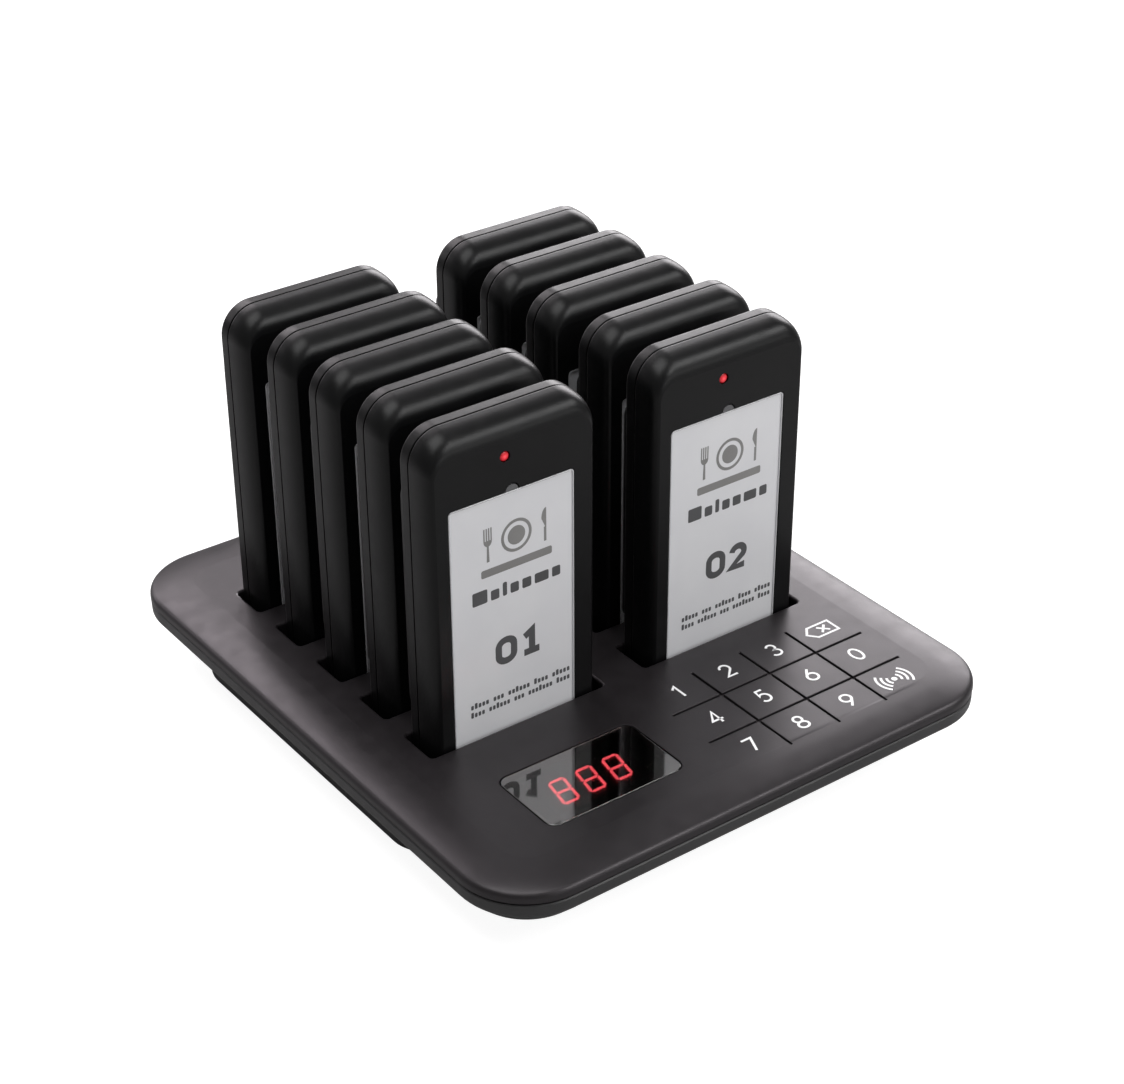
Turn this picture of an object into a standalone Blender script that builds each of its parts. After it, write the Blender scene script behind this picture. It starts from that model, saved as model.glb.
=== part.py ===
# Restaurant paging set: a charging base with keypad and display, and ten coaster pagers.
# Units are metres, +Z is up, the user stands on the -Y side, the origin is on the
# floor under the middle of the base.
import bpy
import bmesh
import math
from mathutils import Matrix, Vector

# ------------------------------------------------------------------ driving sizes
MM = 0.001
GAP = 0.30 * MM              # air left between two touching pieces

BASE_W = 165.6 * MM          # outside width (X)
BASE_D = 192.5 * MM          # outside depth (Y)
BASE_R = 20.3 * MM           # corner radius in plan
Z_TOP = 23.5 * MM            # flat top of the base
Z_SEAM = Z_TOP - 4.5 * MM    # lower rim of the top shell
SEAM_GAP = 0.4 * MM
Z_WALL = Z_TOP - 8.2 * MM    # where the side of the lower shell turns inwards
Z_TRAY = Z_TOP - 13.0 * MM   # underside of the thin tray
Z_PED = 1.5 * MM             # underside of the deep part below the pagers
PED_W = 151.0 * MM
PED_Y = (-46.0 * MM, 70.0 * MM)
PED_R = 12.0 * MM

COL_X = (-34.85 * MM, 34.85 * MM)
ROW_Y0 = -34.05 * MM         # front face of the front row
ROW_PITCH = 21.9 * MM
ROWS = 5
SLOT_W = 55.8 * MM
SLOT_FRONT = 0.5 * MM        # slot play in front of and behind a pager
SLOT_BACK = 0.45 * MM
SLOT_R = 1.2 * MM
SLOT_DEPTH = 15.35 * MM
SLOT_WALL = 1.5 * MM
# sideways play: where each pager happens to stand in its slot (front to back)
PLAY = ((0.1, 1.3, 0.8, 1.25, 0.0), (0.4, 1.3, -0.2, -0.1, -0.1))

PG_W = 52.3 * MM             # pager width
PG_H = 105.2 * MM            # pager height
PG_T = 11.8 * MM             # front face to back face
PG_R = 9.0 * MM              # corner radius
PG_SEAM = 7.9 * MM           # depth of the front shell
PG_Z0 = Z_TOP - SLOT_DEPTH + 0.32 * MM
FACE_ROUND = 6.2 * MM        # how far the soft rounding reaches into the face
SIDE_ROUND = 0.38            # part of that reach at the sides
CORNER_ROUND = 0.72          # part of it taken off the corner radius
WALL = 1.6 * MM
CARD_W = 38.0 * MM
CARD_X = -0.85 * MM           # the card sits a little left of the middle
CARD_Z = (9.0 * MM, 84.6 * MM)
CARD_R = 0.9 * MM
LED_X = -2.8 * MM
LED_Z = 95.1 * MM
BUMP_W = 49.6 * MM
BUMP_Z = (21.5 * MM, 89.2 * MM)
BUMP_T = 3.0 * MM
CONTACT_X = 7.0 * MM         # charging contacts, left and right of the middle
CONTACT_Y = 5.8 * MM         # and behind the front face

KEY_X = (15.6 * MM, 32.4 * MM, 49.1 * MM)
KEY_Y = (-57.0 * MM, -72.1 * MM)
KEY_X_ENDS = (-1.2 * MM, 66.0 * MM)
KEY_Y_ENDS = (-85.4 * MM, -44.2 * MM)
GROOVE_W = 0.8 * MM
GROOVE_H = 0.7 * MM

WIN_C = (-33.85 * MM, -64.4 * MM)
WIN_W = 43.1 * MM
WIN_D = 24.7 * MM
WIN_R = 3.3 * MM
WIN_T = 1.4 * MM

FOOT_XY = ((-62 * MM, -34 * MM), (62 * MM, -34 * MM), (-62 * MM, 58 * MM), (62 * MM, 58 * MM))
FOOT_R = 5.0 * MM
SCREW_XY = ((-71 * MM, -83 * MM), (71 * MM, -83 * MM), (-69 * MM, 84 * MM), (69 * MM, 84 * MM))
JACK_X = -18.0 * MM
SWITCH_X = 20.0 * MM
REAR_Z = Z_TOP - 7.6 * MM    # height of the inlet and the switch on the back wall
SWITCH_TRAVEL = 3.0 * MM


# ------------------------------------------------------------------ clean start
for old in list(bpy.data.objects):
    bpy.data.objects.remove(old, do_unlink=True)
scene_col = bpy.context.scene.collection
parts_col = bpy.data.collections.new("paging_set")
cut_col = bpy.data.collections.new("cutters")
scene_col.children.link(parts_col)
scene_col.children.link(cut_col)


# ------------------------------------------------------------------ materials
def material(name, colour, rough, metal=0.0, emit=None):
    m = bpy.data.materials.new(name)
    m.use_nodes = True
    b = m.node_tree.nodes["Principled BSDF"]
    b.inputs["Base Color"].default_value = (*colour, 1.0)
    b.inputs["Roughness"].default_value = rough
    b.inputs["Metallic"].default_value = metal
    if emit:
        b.inputs["Emission Color"].default_value = (*emit, 1.0)
        b.inputs["Emission Strength"].default_value = 1.0
    m.diffuse_color = (*colour, 1.0)
    return m


# ------------------------------------------------------------------ mesh helpers
def outline(w, d, r, segs):
    """Rounded rectangle round the origin, anticlockwise."""
    pts = []
    for sx, sy, a0 in ((1, 1, 0), (-1, 1, 90), (-1, -1, 180), (1, -1, 270)):
        for k in range(segs + 1):
            a = math.radians(a0 + 90.0 * k / segs)
            pts.append((sx * (w / 2 - r) + r * math.cos(a), sy * (d / 2 - r) + r * math.sin(a)))
    return pts


def mesh_object(name, bm, mat=None, col=None):
    bmesh.ops.recalc_face_normals(bm, faces=bm.faces)
    me = bpy.data.meshes.new(name)
    bm.to_mesh(me)
    bm.free()
    ob = bpy.data.objects.new(name, me)
    (col or parts_col).objects.link(ob)
    if mat:
        me.materials.append(mat)
    return ob


def loft(name, rings, centre=(0.0, 0.0), segs=4, axis="Z", mat=None, col=None):
    """Closed skin through rounded-rectangle rings (w, d, r, height), both ends capped."""
    bm = bmesh.new()
    loops = []
    for w, d, r, h in rings:
        loop = []
        for a, b in outline(w, d, max(r, 0.05 * MM), segs):
            a, b = a + centre[0], b + centre[1]
            loop.append(bm.verts.new((a, b, h) if axis == "Z" else (a, h, b)))
        loops.append(loop)
    n = len(loops[0])
    for lo, hi in zip(loops, loops[1:]):
        for k in range(n):
            bm.faces.new((lo[k], lo[(k + 1) % n], hi[(k + 1) % n], hi[k]))
    bm.faces.new(loops[0])
    bm.faces.new(loops[-1])
    return mesh_object(name, bm, mat, col)


def inset_rings(w, d, r, profile):
    """Rings of one outline drawn inwards by profile (inset, height) pairs."""
    return [(w - 2 * i, d - 2 * i, max(r - i, 0.4 * MM), h) for i, h in profile]


def box(name, x, y, z, mat=None, col=None):
    bm = bmesh.new()
    bmesh.ops.create_cube(bm, size=1.0)
    for v in bm.verts:
        v.co = Vector((x[0] + (v.co.x + 0.5) * (x[1] - x[0]), y[0] + (v.co.y + 0.5) * (y[1] - y[0]),
                       z[0] + (v.co.z + 0.5) * (z[1] - z[0])))
    return mesh_object(name, bm, mat, col)


def rod(name, r, lo, hi, centre, axis="Z", sides=16, mat=None, col=None):
    """Cylinder from lo to hi along an axis; centre holds the two other coordinates."""
    bm = bmesh.new()
    loops = []
    for h in (lo, hi):
        loop = []
        for k in range(sides):
            a = 2 * math.pi * (k + 0.5) / sides
            p, q = centre[0] + r * math.cos(a), centre[1] + r * math.sin(a)
            loop.append(bm.verts.new({"Z": (p, q, h), "Y": (p, h, q), "X": (h, p, q)}[axis]))
        loops.append(loop)
    for k in range(sides):
        bm.faces.new((loops[0][k], loops[0][(k + 1) % sides], loops[1][(k + 1) % sides], loops[1][k]))
    bm.faces.new(loops[0])
    bm.faces.new(loops[1])
    return mesh_object(name, bm, mat, col)


def boolean(target, tool, operation):
    for c in list(tool.users_collection):
        c.objects.unlink(tool)
    cut_col.objects.link(tool)
    tool.hide_render = True
    tool.display_type = "WIRE"
    m = target.modifiers.new(operation.lower() + "_" + tool.name, "BOOLEAN")
    m.operation = operation
    m.solver = "EXACT"
    m.object = tool


def cut(target, *tools):
    for tool in tools:
        boolean(target, tool, "DIFFERENCE")


def add(target, *tools):
    for tool in tools:
        boolean(target, tool, "UNION")


def soften(ob, width, segments=2, angle=40):
    m = ob.modifiers.new("edge_round", "BEVEL")
    m.width = width
    m.segments = segments
    m.limit_method = "ANGLE"
    m.angle_limit = math.radians(angle)


# ------------------------------------------------------------------ base: top shell
SHELL = material("shell_black", (0.035, 0.033, 0.035), 0.42)
top_shell = loft("top_shell", inset_rings(BASE_W, BASE_D, BASE_R, (
    (0.0, Z_SEAM), (0.0, Z_TOP - 3.3 * MM), (0.12 * MM, Z_TOP - 2.6 * MM),
    (0.55 * MM, Z_TOP - 1.9 * MM), (1.4 * MM, Z_TOP - 1.4 * MM), (4.0 * MM, Z_TOP - 0.8 * MM),
    (8.0 * MM, Z_TOP - 0.25 * MM), (13.0 * MM, Z_TOP))), segs=7, mat=SHELL)
cut(top_shell, loft("cut_top_cavity", inset_rings(BASE_W, BASE_D, BASE_R, (
    (2.0 * MM, Z_SEAM - 1 * MM), (2.0 * MM, Z_TOP - 3.9 * MM), (5.0 * MM, Z_TOP - 2.9 * MM),
    (12.0 * MM, Z_TOP - 2.2 * MM))), segs=5))
slot_d = PG_T + SLOT_FRONT + SLOT_BACK
for c, col_x in enumerate(COL_X):
    for row in range(ROWS):
        y_mid = ROW_Y0 + row * ROW_PITCH + (PG_T + SLOT_BACK - SLOT_FRONT) / 2
        tag = "%d%d" % (c, row)
        add(top_shell, loft("pocket_" + tag, [
            (SLOT_W + 2 * SLOT_WALL, slot_d + 2 * SLOT_WALL, SLOT_R + SLOT_WALL, h)
            for h in (Z_TOP - SLOT_DEPTH - SLOT_WALL, Z_TOP - 1.6 * MM)], (col_x, y_mid), 2))
for c, col_x in enumerate(COL_X):
    for row in range(ROWS):
        y_mid = ROW_Y0 + row * ROW_PITCH + (PG_T + SLOT_BACK - SLOT_FRONT) / 2
        tag = "%d%d" % (c, row)
        cut(top_shell, loft("slot_" + tag, [
            (SLOT_W, slot_d, SLOT_R, h) for h in (Z_TOP - SLOT_DEPTH, Z_TOP + 1 * MM)],
            (col_x, y_mid), 2))
        for side in (-1, 1):
            cut(top_shell, rod("pin_hole_%s_%d" % (tag, side), 1.4 * MM,
                               Z_TOP - SLOT_DEPTH - 3 * MM, Z_TOP - SLOT_DEPTH + 1 * MM,
                               (col_x + side * CONTACT_X, ROW_Y0 + row * ROW_PITCH + CONTACT_Y), sides=8))
for k, x in enumerate(KEY_X):
    cut(top_shell, box("groove_y_%d" % k, (x - GROOVE_W / 2, x + GROOVE_W / 2), KEY_Y_ENDS,
                       (Z_TOP - GROOVE_H, Z_TOP + 1 * MM)))
for k, y in enumerate(KEY_Y):
    cut(top_shell, box("groove_x_%d" % k, KEY_X_ENDS, (y - GROOVE_W / 2, y + GROOVE_W / 2),
                       (Z_TOP - GROOVE_H, Z_TOP + 1 * MM)))
cut(top_shell, loft("window_seat", [(WIN_W, WIN_D, WIN_R, h) for h in (Z_TOP - WIN_T - 2 * GAP, Z_TOP + MM)],
                    WIN_C, 4))
cut(top_shell, loft("window_well", [(WIN_W - 4 * MM, WIN_D - 4 * MM, 2 * MM, h)
                                    for h in (Z_TOP - 5 * MM, Z_TOP - 1 * MM)], WIN_C, 2))
for k, (x, y) in enumerate(SCREW_XY):
    add(top_shell, rod("post_%d" % k, 2.7 * MM, Z_TRAY + 2.4 * MM, Z_TOP - 1.9 * MM, (x, y), sides=12))
for k, (x, y) in enumerate(SCREW_XY):
    cut(top_shell, rod("pilot_%d" % k, 1.3 * MM, Z_TRAY, Z_TOP - 4.5 * MM, (x, y), sides=10))

# ------------------------------------------------------------------ base: lower shell
LOWER = material("lower_shell_grey", (0.075, 0.073, 0.075), 0.40)
z_rim = Z_SEAM - SEAM_GAP
bottom_shell = loft("bottom_shell", inset_rings(BASE_W, BASE_D, BASE_R, (
    (4.9 * MM, Z_TRAY), (1.0 * MM, Z_TOP - 9.2 * MM), (0.25 * MM, Z_WALL), (0.1 * MM, Z_TOP - 7.0 * MM),
    (0.1 * MM, z_rim))), segs=7, mat=LOWER)
ped_c = (0.0, (PED_Y[0] + PED_Y[1]) / 2)
ped_d = PED_Y[1] - PED_Y[0]
add(bottom_shell, loft("pedestal", inset_rings(PED_W, ped_d, PED_R, (
    (1.2 * MM, Z_PED), (0.3 * MM, Z_PED + 0.9 * MM), (0.0, Z_PED + 2.0 * MM), (0.0, Z_TRAY + 1 * MM))),
    ped_c, 5))
add(bottom_shell, box("rear_pad", (JACK_X - 6 * MM, SWITCH_X + 7 * MM), (88 * MM, BASE_D / 2 - 0.25 * MM),
                      (Z_TRAY + 0.4 * MM, z_rim - 1.0 * MM)))
cut(bottom_shell, loft("cut_tray", inset_rings(BASE_W, BASE_D, BASE_R, (
    (6.2 * MM, Z_TRAY + 1.8 * MM), (2.6 * MM, Z_TRAY + 4.6 * MM), (2.2 * MM, Z_WALL + 1 * MM),
    (2.2 * MM, Z_TOP))), segs=5))
cut(bottom_shell, loft("cut_pedestal", [
    (PED_W - 4 * MM, ped_d - 4 * MM, PED_R - 2 * MM, h) for h in (Z_PED + 1.8 * MM, Z_TRAY + 3 * MM)],
    ped_c, 3))
for k, (x, y) in enumerate(FOOT_XY):
    cut(bottom_shell, rod("foot_seat_%d" % k, FOOT_R + GAP, 0.0, Z_PED + 0.8 * MM, (x, y), sides=20))
for k, (x, y) in enumerate(SCREW_XY):
    cut(bottom_shell, rod("screw_way_%d" % k, 1.4 * MM, 0.0, Z_TOP, (x, y), sides=10))
    cut(bottom_shell, rod("head_seat_%d" % k, 2.9 * MM, 0.0, Z_TRAY + 1.1 * MM, (x, y), sides=14))
cut(bottom_shell, rod("jack_way", 2.3 * MM, 80 * MM, 110 * MM, (JACK_X, REAR_Z), "Y", 16))
cut(bottom_shell, box("switch_way", (SWITCH_X - 3.4 * MM, SWITCH_X + 3.4 * MM), (80 * MM, 110 * MM),
                      (REAR_Z - 1.3 * MM, REAR_Z + 1.3 * MM)))

# ------------------------------------------------------------------ base: window and display
WINDOW = material("display_window", (0.012, 0.011, 0.010), 0.06)
window = loft("display_window", inset_rings(WIN_W - 2 * GAP, WIN_D - 2 * GAP, WIN_R - GAP, (
    (0.0, Z_TOP - WIN_T - GAP), (0.0, Z_TOP - 0.25 * MM), (0.2 * MM, Z_TOP - 0.1 * MM))),
    WIN_C, 4, mat=WINDOW)
MODULE = material("display_module", (0.02, 0.02, 0.02), 0.5)
module = box("display_module", (WIN_C[0] - 15 * MM, WIN_C[0] + 15 * MM),
             (WIN_C[1] - 7 * MM, WIN_C[1] + 7 * MM), (Z_TOP - 8.3 * MM, Z_TOP - 3.4 * MM), MODULE)
soften(module, 0.3 * MM, 1)

# ------------------------------------------------------------------ base: boards
BOARD = material("board_green", (0.02, 0.11, 0.04), 0.45)
main_board = box("main_board", (-64 * MM, 64 * MM), (-90 * MM, -40 * MM),
                 (Z_TOP - 10.2 * MM, Z_TOP - 8.6 * MM), BOARD)
add(main_board,
    box("mcu", (8 * MM, 18 * MM), (-70 * MM, -60 * MM), (Z_TOP - 9.0 * MM, Z_TOP - 7.2 * MM)),
    box("radio_can", (34 * MM, 54 * MM), (-78 * MM, -60 * MM), (Z_TOP - 9.0 * MM, Z_TOP - 6.2 * MM)),
    box("header", (-8 * MM, 2 * MM), (-52 * MM, -48 * MM), (Z_TOP - 9.0 * MM, Z_TOP - 5.2 * MM)),
    rod("capacitor", 2.2 * MM, Z_TOP - 9.0 * MM, Z_TOP - 4.6 * MM, (-58 * MM, -48 * MM), sides=12))
touch_board = box("touch_board", (-3 * MM, 67 * MM), (-87 * MM, -42.5 * MM),
                  (Z_TOP - 4.0 * MM, Z_TOP - 3.0 * MM), BOARD)
add(touch_board, box("touch_plug", (0, 8 * MM), (-48 * MM, -45 * MM), (Z_TOP - 4.9 * MM, Z_TOP - 3.5 * MM)))
CONTACT = material("contact_gold", (0.72, 0.52, 0.20), 0.28, 1.0)
for side, col_x in zip(("left", "right"), COL_X):
    board = box("charge_board_" + side, (col_x - 13 * MM, col_x + 13 * MM),
                (-35 * MM, 64 * MM), (Z_PED + 2.6 * MM, Z_PED + 3.8 * MM), BOARD)
    for row in range(ROWS):
        for s in (-1, 1):
            add(board, rod("pin_%s_%d_%d" % (side, row, s), 1.0 * MM, Z_PED + 3.2 * MM,
                           Z_TOP - SLOT_DEPTH - 0.02 * MM,
                           (col_x + s * CONTACT_X, ROW_Y0 + row * ROW_PITCH + CONTACT_Y), sides=6))
    board.data.materials.append(CONTACT)
COPPER = material("antenna_copper", (0.60, 0.30, 0.16), 0.3, 1.0)
antenna = rod("antenna", 1.5 * MM, 40 * MM, 62 * MM, (78 * MM, Z_TOP - 7.5 * MM), "X", 12, COPPER)
soften(antenna, 0.4 * MM, 1)

# ------------------------------------------------------------------ base: inlet and switch
JACK = material("inlet_black", (0.02, 0.02, 0.02), 0.4)
back_y = BASE_D / 2 - 0.25 * MM
power_jack = box("power_jack", (JACK_X - 3.2 * MM, JACK_X + 3.2 * MM), (76 * MM, 86 * MM),
                 (REAR_Z - 3.0 * MM, REAR_Z + 3.0 * MM), JACK)
add(power_jack, rod("jack_nose", 1.95 * MM, 85 * MM, back_y, (JACK_X, REAR_Z), "Y", 16))
cut(power_jack, rod("jack_bore", 1.45 * MM, 80 * MM, 110 * MM, (JACK_X, REAR_Z), "Y", 16))
add(power_jack, rod("jack_pin", 0.5 * MM, 79 * MM, back_y - 1.5 * MM, (JACK_X, REAR_Z), "Y", 8))

SWITCH = material("switch_black", (0.03, 0.03, 0.03), 0.45)
sx = SWITCH_X - SWITCH_TRAVEL / 2
power_switch = box("power_switch", (sx - 1.5 * MM, sx + 1.5 * MM), (86.6 * MM, BASE_D / 2),
                   (REAR_Z - 0.95 * MM, REAR_Z + 0.95 * MM), SWITCH)
add(power_switch, box("switch_slider", (sx - 3 * MM, sx + 3 * MM), (84.6 * MM, 87.2 * MM),
                      (REAR_Z - 1.6 * MM, REAR_Z + 1.6 * MM)))
switch_origin = Vector((sx, back_y, REAR_Z))

# ------------------------------------------------------------------ base: feet and screws
RUBBER = material("foot_rubber", (0.025, 0.025, 0.025), 0.85)
STEEL = material("screw_steel", (0.55, 0.55, 0.56), 0.3, 1.0)
for k, (x, y) in enumerate(FOOT_XY):
    foot = rod("foot_%d" % (k + 1), FOOT_R, 0.0, Z_PED + 0.5 * MM, (x, y), sides=24, mat=RUBBER)
    soften(foot, 0.35 * MM, 1)
for k, (x, y) in enumerate(SCREW_XY):
    screw = rod("screw_%d" % (k + 1), 2.5 * MM, Z_TRAY - 0.05 * MM, Z_TRAY + 0.8 * MM, (x, y),
                sides=14, mat=STEEL)
    add(screw, rod("shank_%d" % k, 1.0 * MM, Z_TRAY + 0.4 * MM, Z_TOP - 5.2 * MM, (x, y), sides=8))
    cut(screw, box("drive_a_%d" % k, (x - 1.3 * MM, x + 1.3 * MM), (y - 0.25 * MM, y + 0.25 * MM),
                   (Z_TRAY - 1 * MM, Z_TRAY + 0.35 * MM)))
    cut(screw, box("drive_b_%d" % k, (x - 0.25 * MM, x + 0.25 * MM), (y - 1.3 * MM, y + 1.3 * MM),
                   (Z_TRAY - 1 * MM, Z_TRAY + 0.35 * MM)))

# ------------------------------------------------------------------ pager: pattern pieces
# The pager is drawn once, standing on z = 0 with its face on y = 0, then copied ten times.
PAGER = material("pager_black", (0.028, 0.028, 0.030), 0.45)
CARD = material("label_card", (0.80, 0.80, 0.82), 0.30)
CORE = material("pager_core", (0.02, 0.11, 0.04), 0.45)
mid = (0.0, PG_H / 2)


def pager_rings(profile):
    return inset_rings(PG_W, PG_H, PG_R, profile)


def front_rings(profile):
    """Rings of the front shell: the rounding is broad at the ends and tight at the sides."""
    return [(PG_W - 2 * SIDE_ROUND * inset, PG_H - 2 * inset, PG_R - CORNER_ROUND * inset, y)
            for inset, y in profile]


front = loft("front_pattern", front_rings((
    (FACE_ROUND, 0.0), (4.1 * MM, 0.6 * MM), (2.3 * MM, 1.8 * MM), (1.05 * MM, 3.4 * MM),
    (0.3 * MM, 5.4 * MM), (0.0, PG_SEAM))), mid, 4, "Y", PAGER)
cut(front, loft("front_cavity", pager_rings((
    (6.4 * MM, 2.6 * MM), (WALL, 4.8 * MM), (WALL, PG_SEAM + MM))), mid, 2, "Y"))
card_h = CARD_Z[1] - CARD_Z[0]
card_mid = (CARD_X, (CARD_Z[0] + CARD_Z[1]) / 2)
cut(front, loft("card_recess", [(CARD_W + 2 * GAP, card_h + 2 * GAP, CARD_R + GAP, y)
                                for y in (-MM, 1.3 * MM)], card_mid, 2, "Y"))
cut(front, rod("thumb_notch", 2.0 * MM, -MM, 1.0 * MM, (CARD_X, CARD_Z[1] + 0.2 * MM), "Y", 12))
cut(front, rod("led_hole", 1.6 * MM, -MM, 4 * MM, (LED_X, LED_Z), "Y", 10))
for s in (-1, 1):
    cut(front, box("contact_way_%d" % s, (s * CONTACT_X - 2.9 * MM, s * CONTACT_X + 2.9 * MM),
                   (4.9 * MM, 7 * MM), (-MM, 4 * MM)))

rear = loft("rear_pattern", pager_rings((
    (0.0, PG_SEAM + 0.35 * MM), (0.0, PG_T - 0.6 * MM), (0.2 * MM, PG_T - 0.15 * MM), (0.6 * MM, PG_T))),
    mid, 4, "Y", PAGER)
bump_mid = (0.0, (BUMP_Z[0] + BUMP_Z[1]) / 2)
bump_h = BUMP_Z[1] - BUMP_Z[0]
add(rear, loft("back_bump", inset_rings(BUMP_W, bump_h, 4 * MM, (
    (0.0, PG_T - MM), (0.0, PG_T + BUMP_T - 1.0 * MM), (0.9 * MM, PG_T + BUMP_T))), bump_mid, 3, "Y"))
cut(rear, loft("rear_cavity", pager_rings(((WALL, PG_SEAM - MM), (WALL, PG_T - 1.5 * MM))), mid, 2, "Y"))
cut(rear, loft("bump_cavity", inset_rings(BUMP_W, bump_h, 4 * MM, (
    (2.4 * MM, PG_T - 2 * MM), (2.4 * MM, PG_T + BUMP_T - 1.4 * MM))), bump_mid, 1, "Y"))
for k in range(2):
    cut(rear, box("sound_slit_%d" % k, (-4 * MM, 4 * MM), (PG_T + 1 * MM, PG_T + 4 * MM),
                  ((78 + 2.6 * k) * MM, (79.2 + 2.6 * k) * MM)))

card = loft("card_pattern", [(CARD_W, card_h, CARD_R, y) for y in (0.4 * MM, 1.0 * MM)],
            card_mid, 2, "Y", CARD)

core = box("core_pattern", (-22 * MM, 22 * MM), (5.2 * MM, 6.2 * MM), (5 * MM, 99 * MM), CORE)
add(core,
    rod("led_lens", 1.2 * MM, 0.7 * MM, 5.6 * MM, (LED_X, LED_Z), "Y", 8),
    box("battery", (-16 * MM, 16 * MM), (5.8 * MM, 11.6 * MM), (30 * MM, 72 * MM)),
    rod("shaker", 5.0 * MM, 5.8 * MM, 8.9 * MM, (13 * MM, 18 * MM), "Y", 10),
    rod("sounder", 4.6 * MM, 5.8 * MM, 8.6 * MM, (0.0, 80 * MM), "Y", 10),
    box("radio_chip", (-18 * MM, -10 * MM), (5.8 * MM, 7.4 * MM), (14 * MM, 22 * MM)),
    box("contact_a", (-CONTACT_X - 2.5 * MM, -CONTACT_X + 2.5 * MM), (5.2 * MM, 6.2 * MM),
        (0.1 * MM, 6 * MM)),
    box("contact_b", (CONTACT_X - 2.5 * MM, CONTACT_X + 2.5 * MM), (5.2 * MM, 6.2 * MM),
        (0.1 * MM, 6 * MM)))

# ------------------------------------------------------------------ ten pagers
bpy.context.view_layer.update()
deps = bpy.context.evaluated_depsgraph_get()
patterns = {}
for key, ob in (("front_shell", front), ("rear_shell", rear), ("label_card", card), ("core", core)):
    patterns[key] = bpy.data.meshes.new_from_object(ob.evaluated_get(deps))
    patterns[key].name = key
for ob in (front, rear, card, core):
    for m in ob.modifiers:
        if m.type == "BOOLEAN":
            bpy.data.objects.remove(m.object, do_unlink=True)
    bpy.data.objects.remove(ob, do_unlink=True)
number = 0
for row in range(ROWS):
    for c, col_x in enumerate(COL_X):
        number += 1
        frame = bpy.data.objects.new("pager_%02d" % number, None)
        frame.location = (col_x + PLAY[c][row] * MM, ROW_Y0 + row * ROW_PITCH, PG_Z0)
        frame.empty_display_size = 0.01
        parts_col.objects.link(frame)
        for key, me in patterns.items():
            ob = bpy.data.objects.new("%s_%02d" % (key, number), me)
            ob.parent = frame
            parts_col.objects.link(ob)

# the switch turns its own origin onto its line of travel
power_switch.data.transform(Matrix.Translation(-switch_origin))
power_switch.location = switch_origin
slider = bpy.data.objects["switch_slider"]
slider.parent = power_switch
slider.matrix_parent_inverse = Matrix.Translation(-switch_origin)
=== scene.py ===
# The looks of the restaurant paging set: a charging base with keypad and display, ten coaster pagers.
# Metres, +Z up, the user stands on the -Y side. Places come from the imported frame.
import math

import bmesh
import bpy
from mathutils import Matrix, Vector


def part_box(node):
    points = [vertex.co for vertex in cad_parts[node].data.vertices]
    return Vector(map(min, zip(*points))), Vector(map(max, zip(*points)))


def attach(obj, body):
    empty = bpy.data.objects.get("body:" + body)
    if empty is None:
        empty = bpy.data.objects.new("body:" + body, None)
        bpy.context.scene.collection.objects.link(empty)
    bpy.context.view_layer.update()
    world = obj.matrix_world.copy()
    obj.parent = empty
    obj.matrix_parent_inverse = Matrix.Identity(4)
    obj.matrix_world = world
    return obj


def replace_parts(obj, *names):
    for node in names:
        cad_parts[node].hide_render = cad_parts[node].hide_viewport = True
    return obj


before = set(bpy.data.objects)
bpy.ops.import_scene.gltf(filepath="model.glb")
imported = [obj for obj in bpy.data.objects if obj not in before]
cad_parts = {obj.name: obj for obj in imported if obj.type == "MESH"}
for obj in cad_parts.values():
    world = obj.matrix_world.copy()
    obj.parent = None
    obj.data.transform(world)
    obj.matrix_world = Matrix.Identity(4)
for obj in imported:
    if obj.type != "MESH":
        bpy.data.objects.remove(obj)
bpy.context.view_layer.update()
MM = 0.001

# ------------------------------------------------------------------ sizes, most of them read from the frame
TOP_LO, TOP_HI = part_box("top_shell")
LOW_LO, LOW_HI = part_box("bottom_shell")
Z_TOP = TOP_HI.z
BASE_W = TOP_HI.x - TOP_LO.x
BASE_D = TOP_HI.y - TOP_LO.y
BASE_R = 20.3 * MM
Z_SEAM = Z_TOP - 4.5 * MM
Z_RIM = LOW_HI.z
Z_TRAY = Z_TOP - 13.0 * MM
Z_PED = LOW_LO.z
PED_W, PED_R = 151.0 * MM, 12.0 * MM        # the deep part under the pagers
PED_Y = (-46.0 * MM, 70.0 * MM)
BACK_Y = BASE_D / 2 - 0.25 * MM             # face of the pad round the inlet and the switch
SWITCH_TRAVEL = 3.0 * MM

NUMBERS = range(1, 11)
COLUMNS = 2
PG_LO, PG_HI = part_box("front_shell_01")
ROW_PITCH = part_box("front_shell_03")[0].y - PG_LO.y
ROW_Y0 = PG_LO.y
COL_X = (-34.85 * MM, 34.85 * MM)
SLOT_W, SLOT_FRONT, SLOT_BACK, SLOT_R = 55.8 * MM, 0.5 * MM, 0.45 * MM, 1.2 * MM
SLOT_DEPTH, SLOT_WALL, SLOT_LIP = 15.35 * MM, 1.5 * MM, 0.8 * MM

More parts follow.
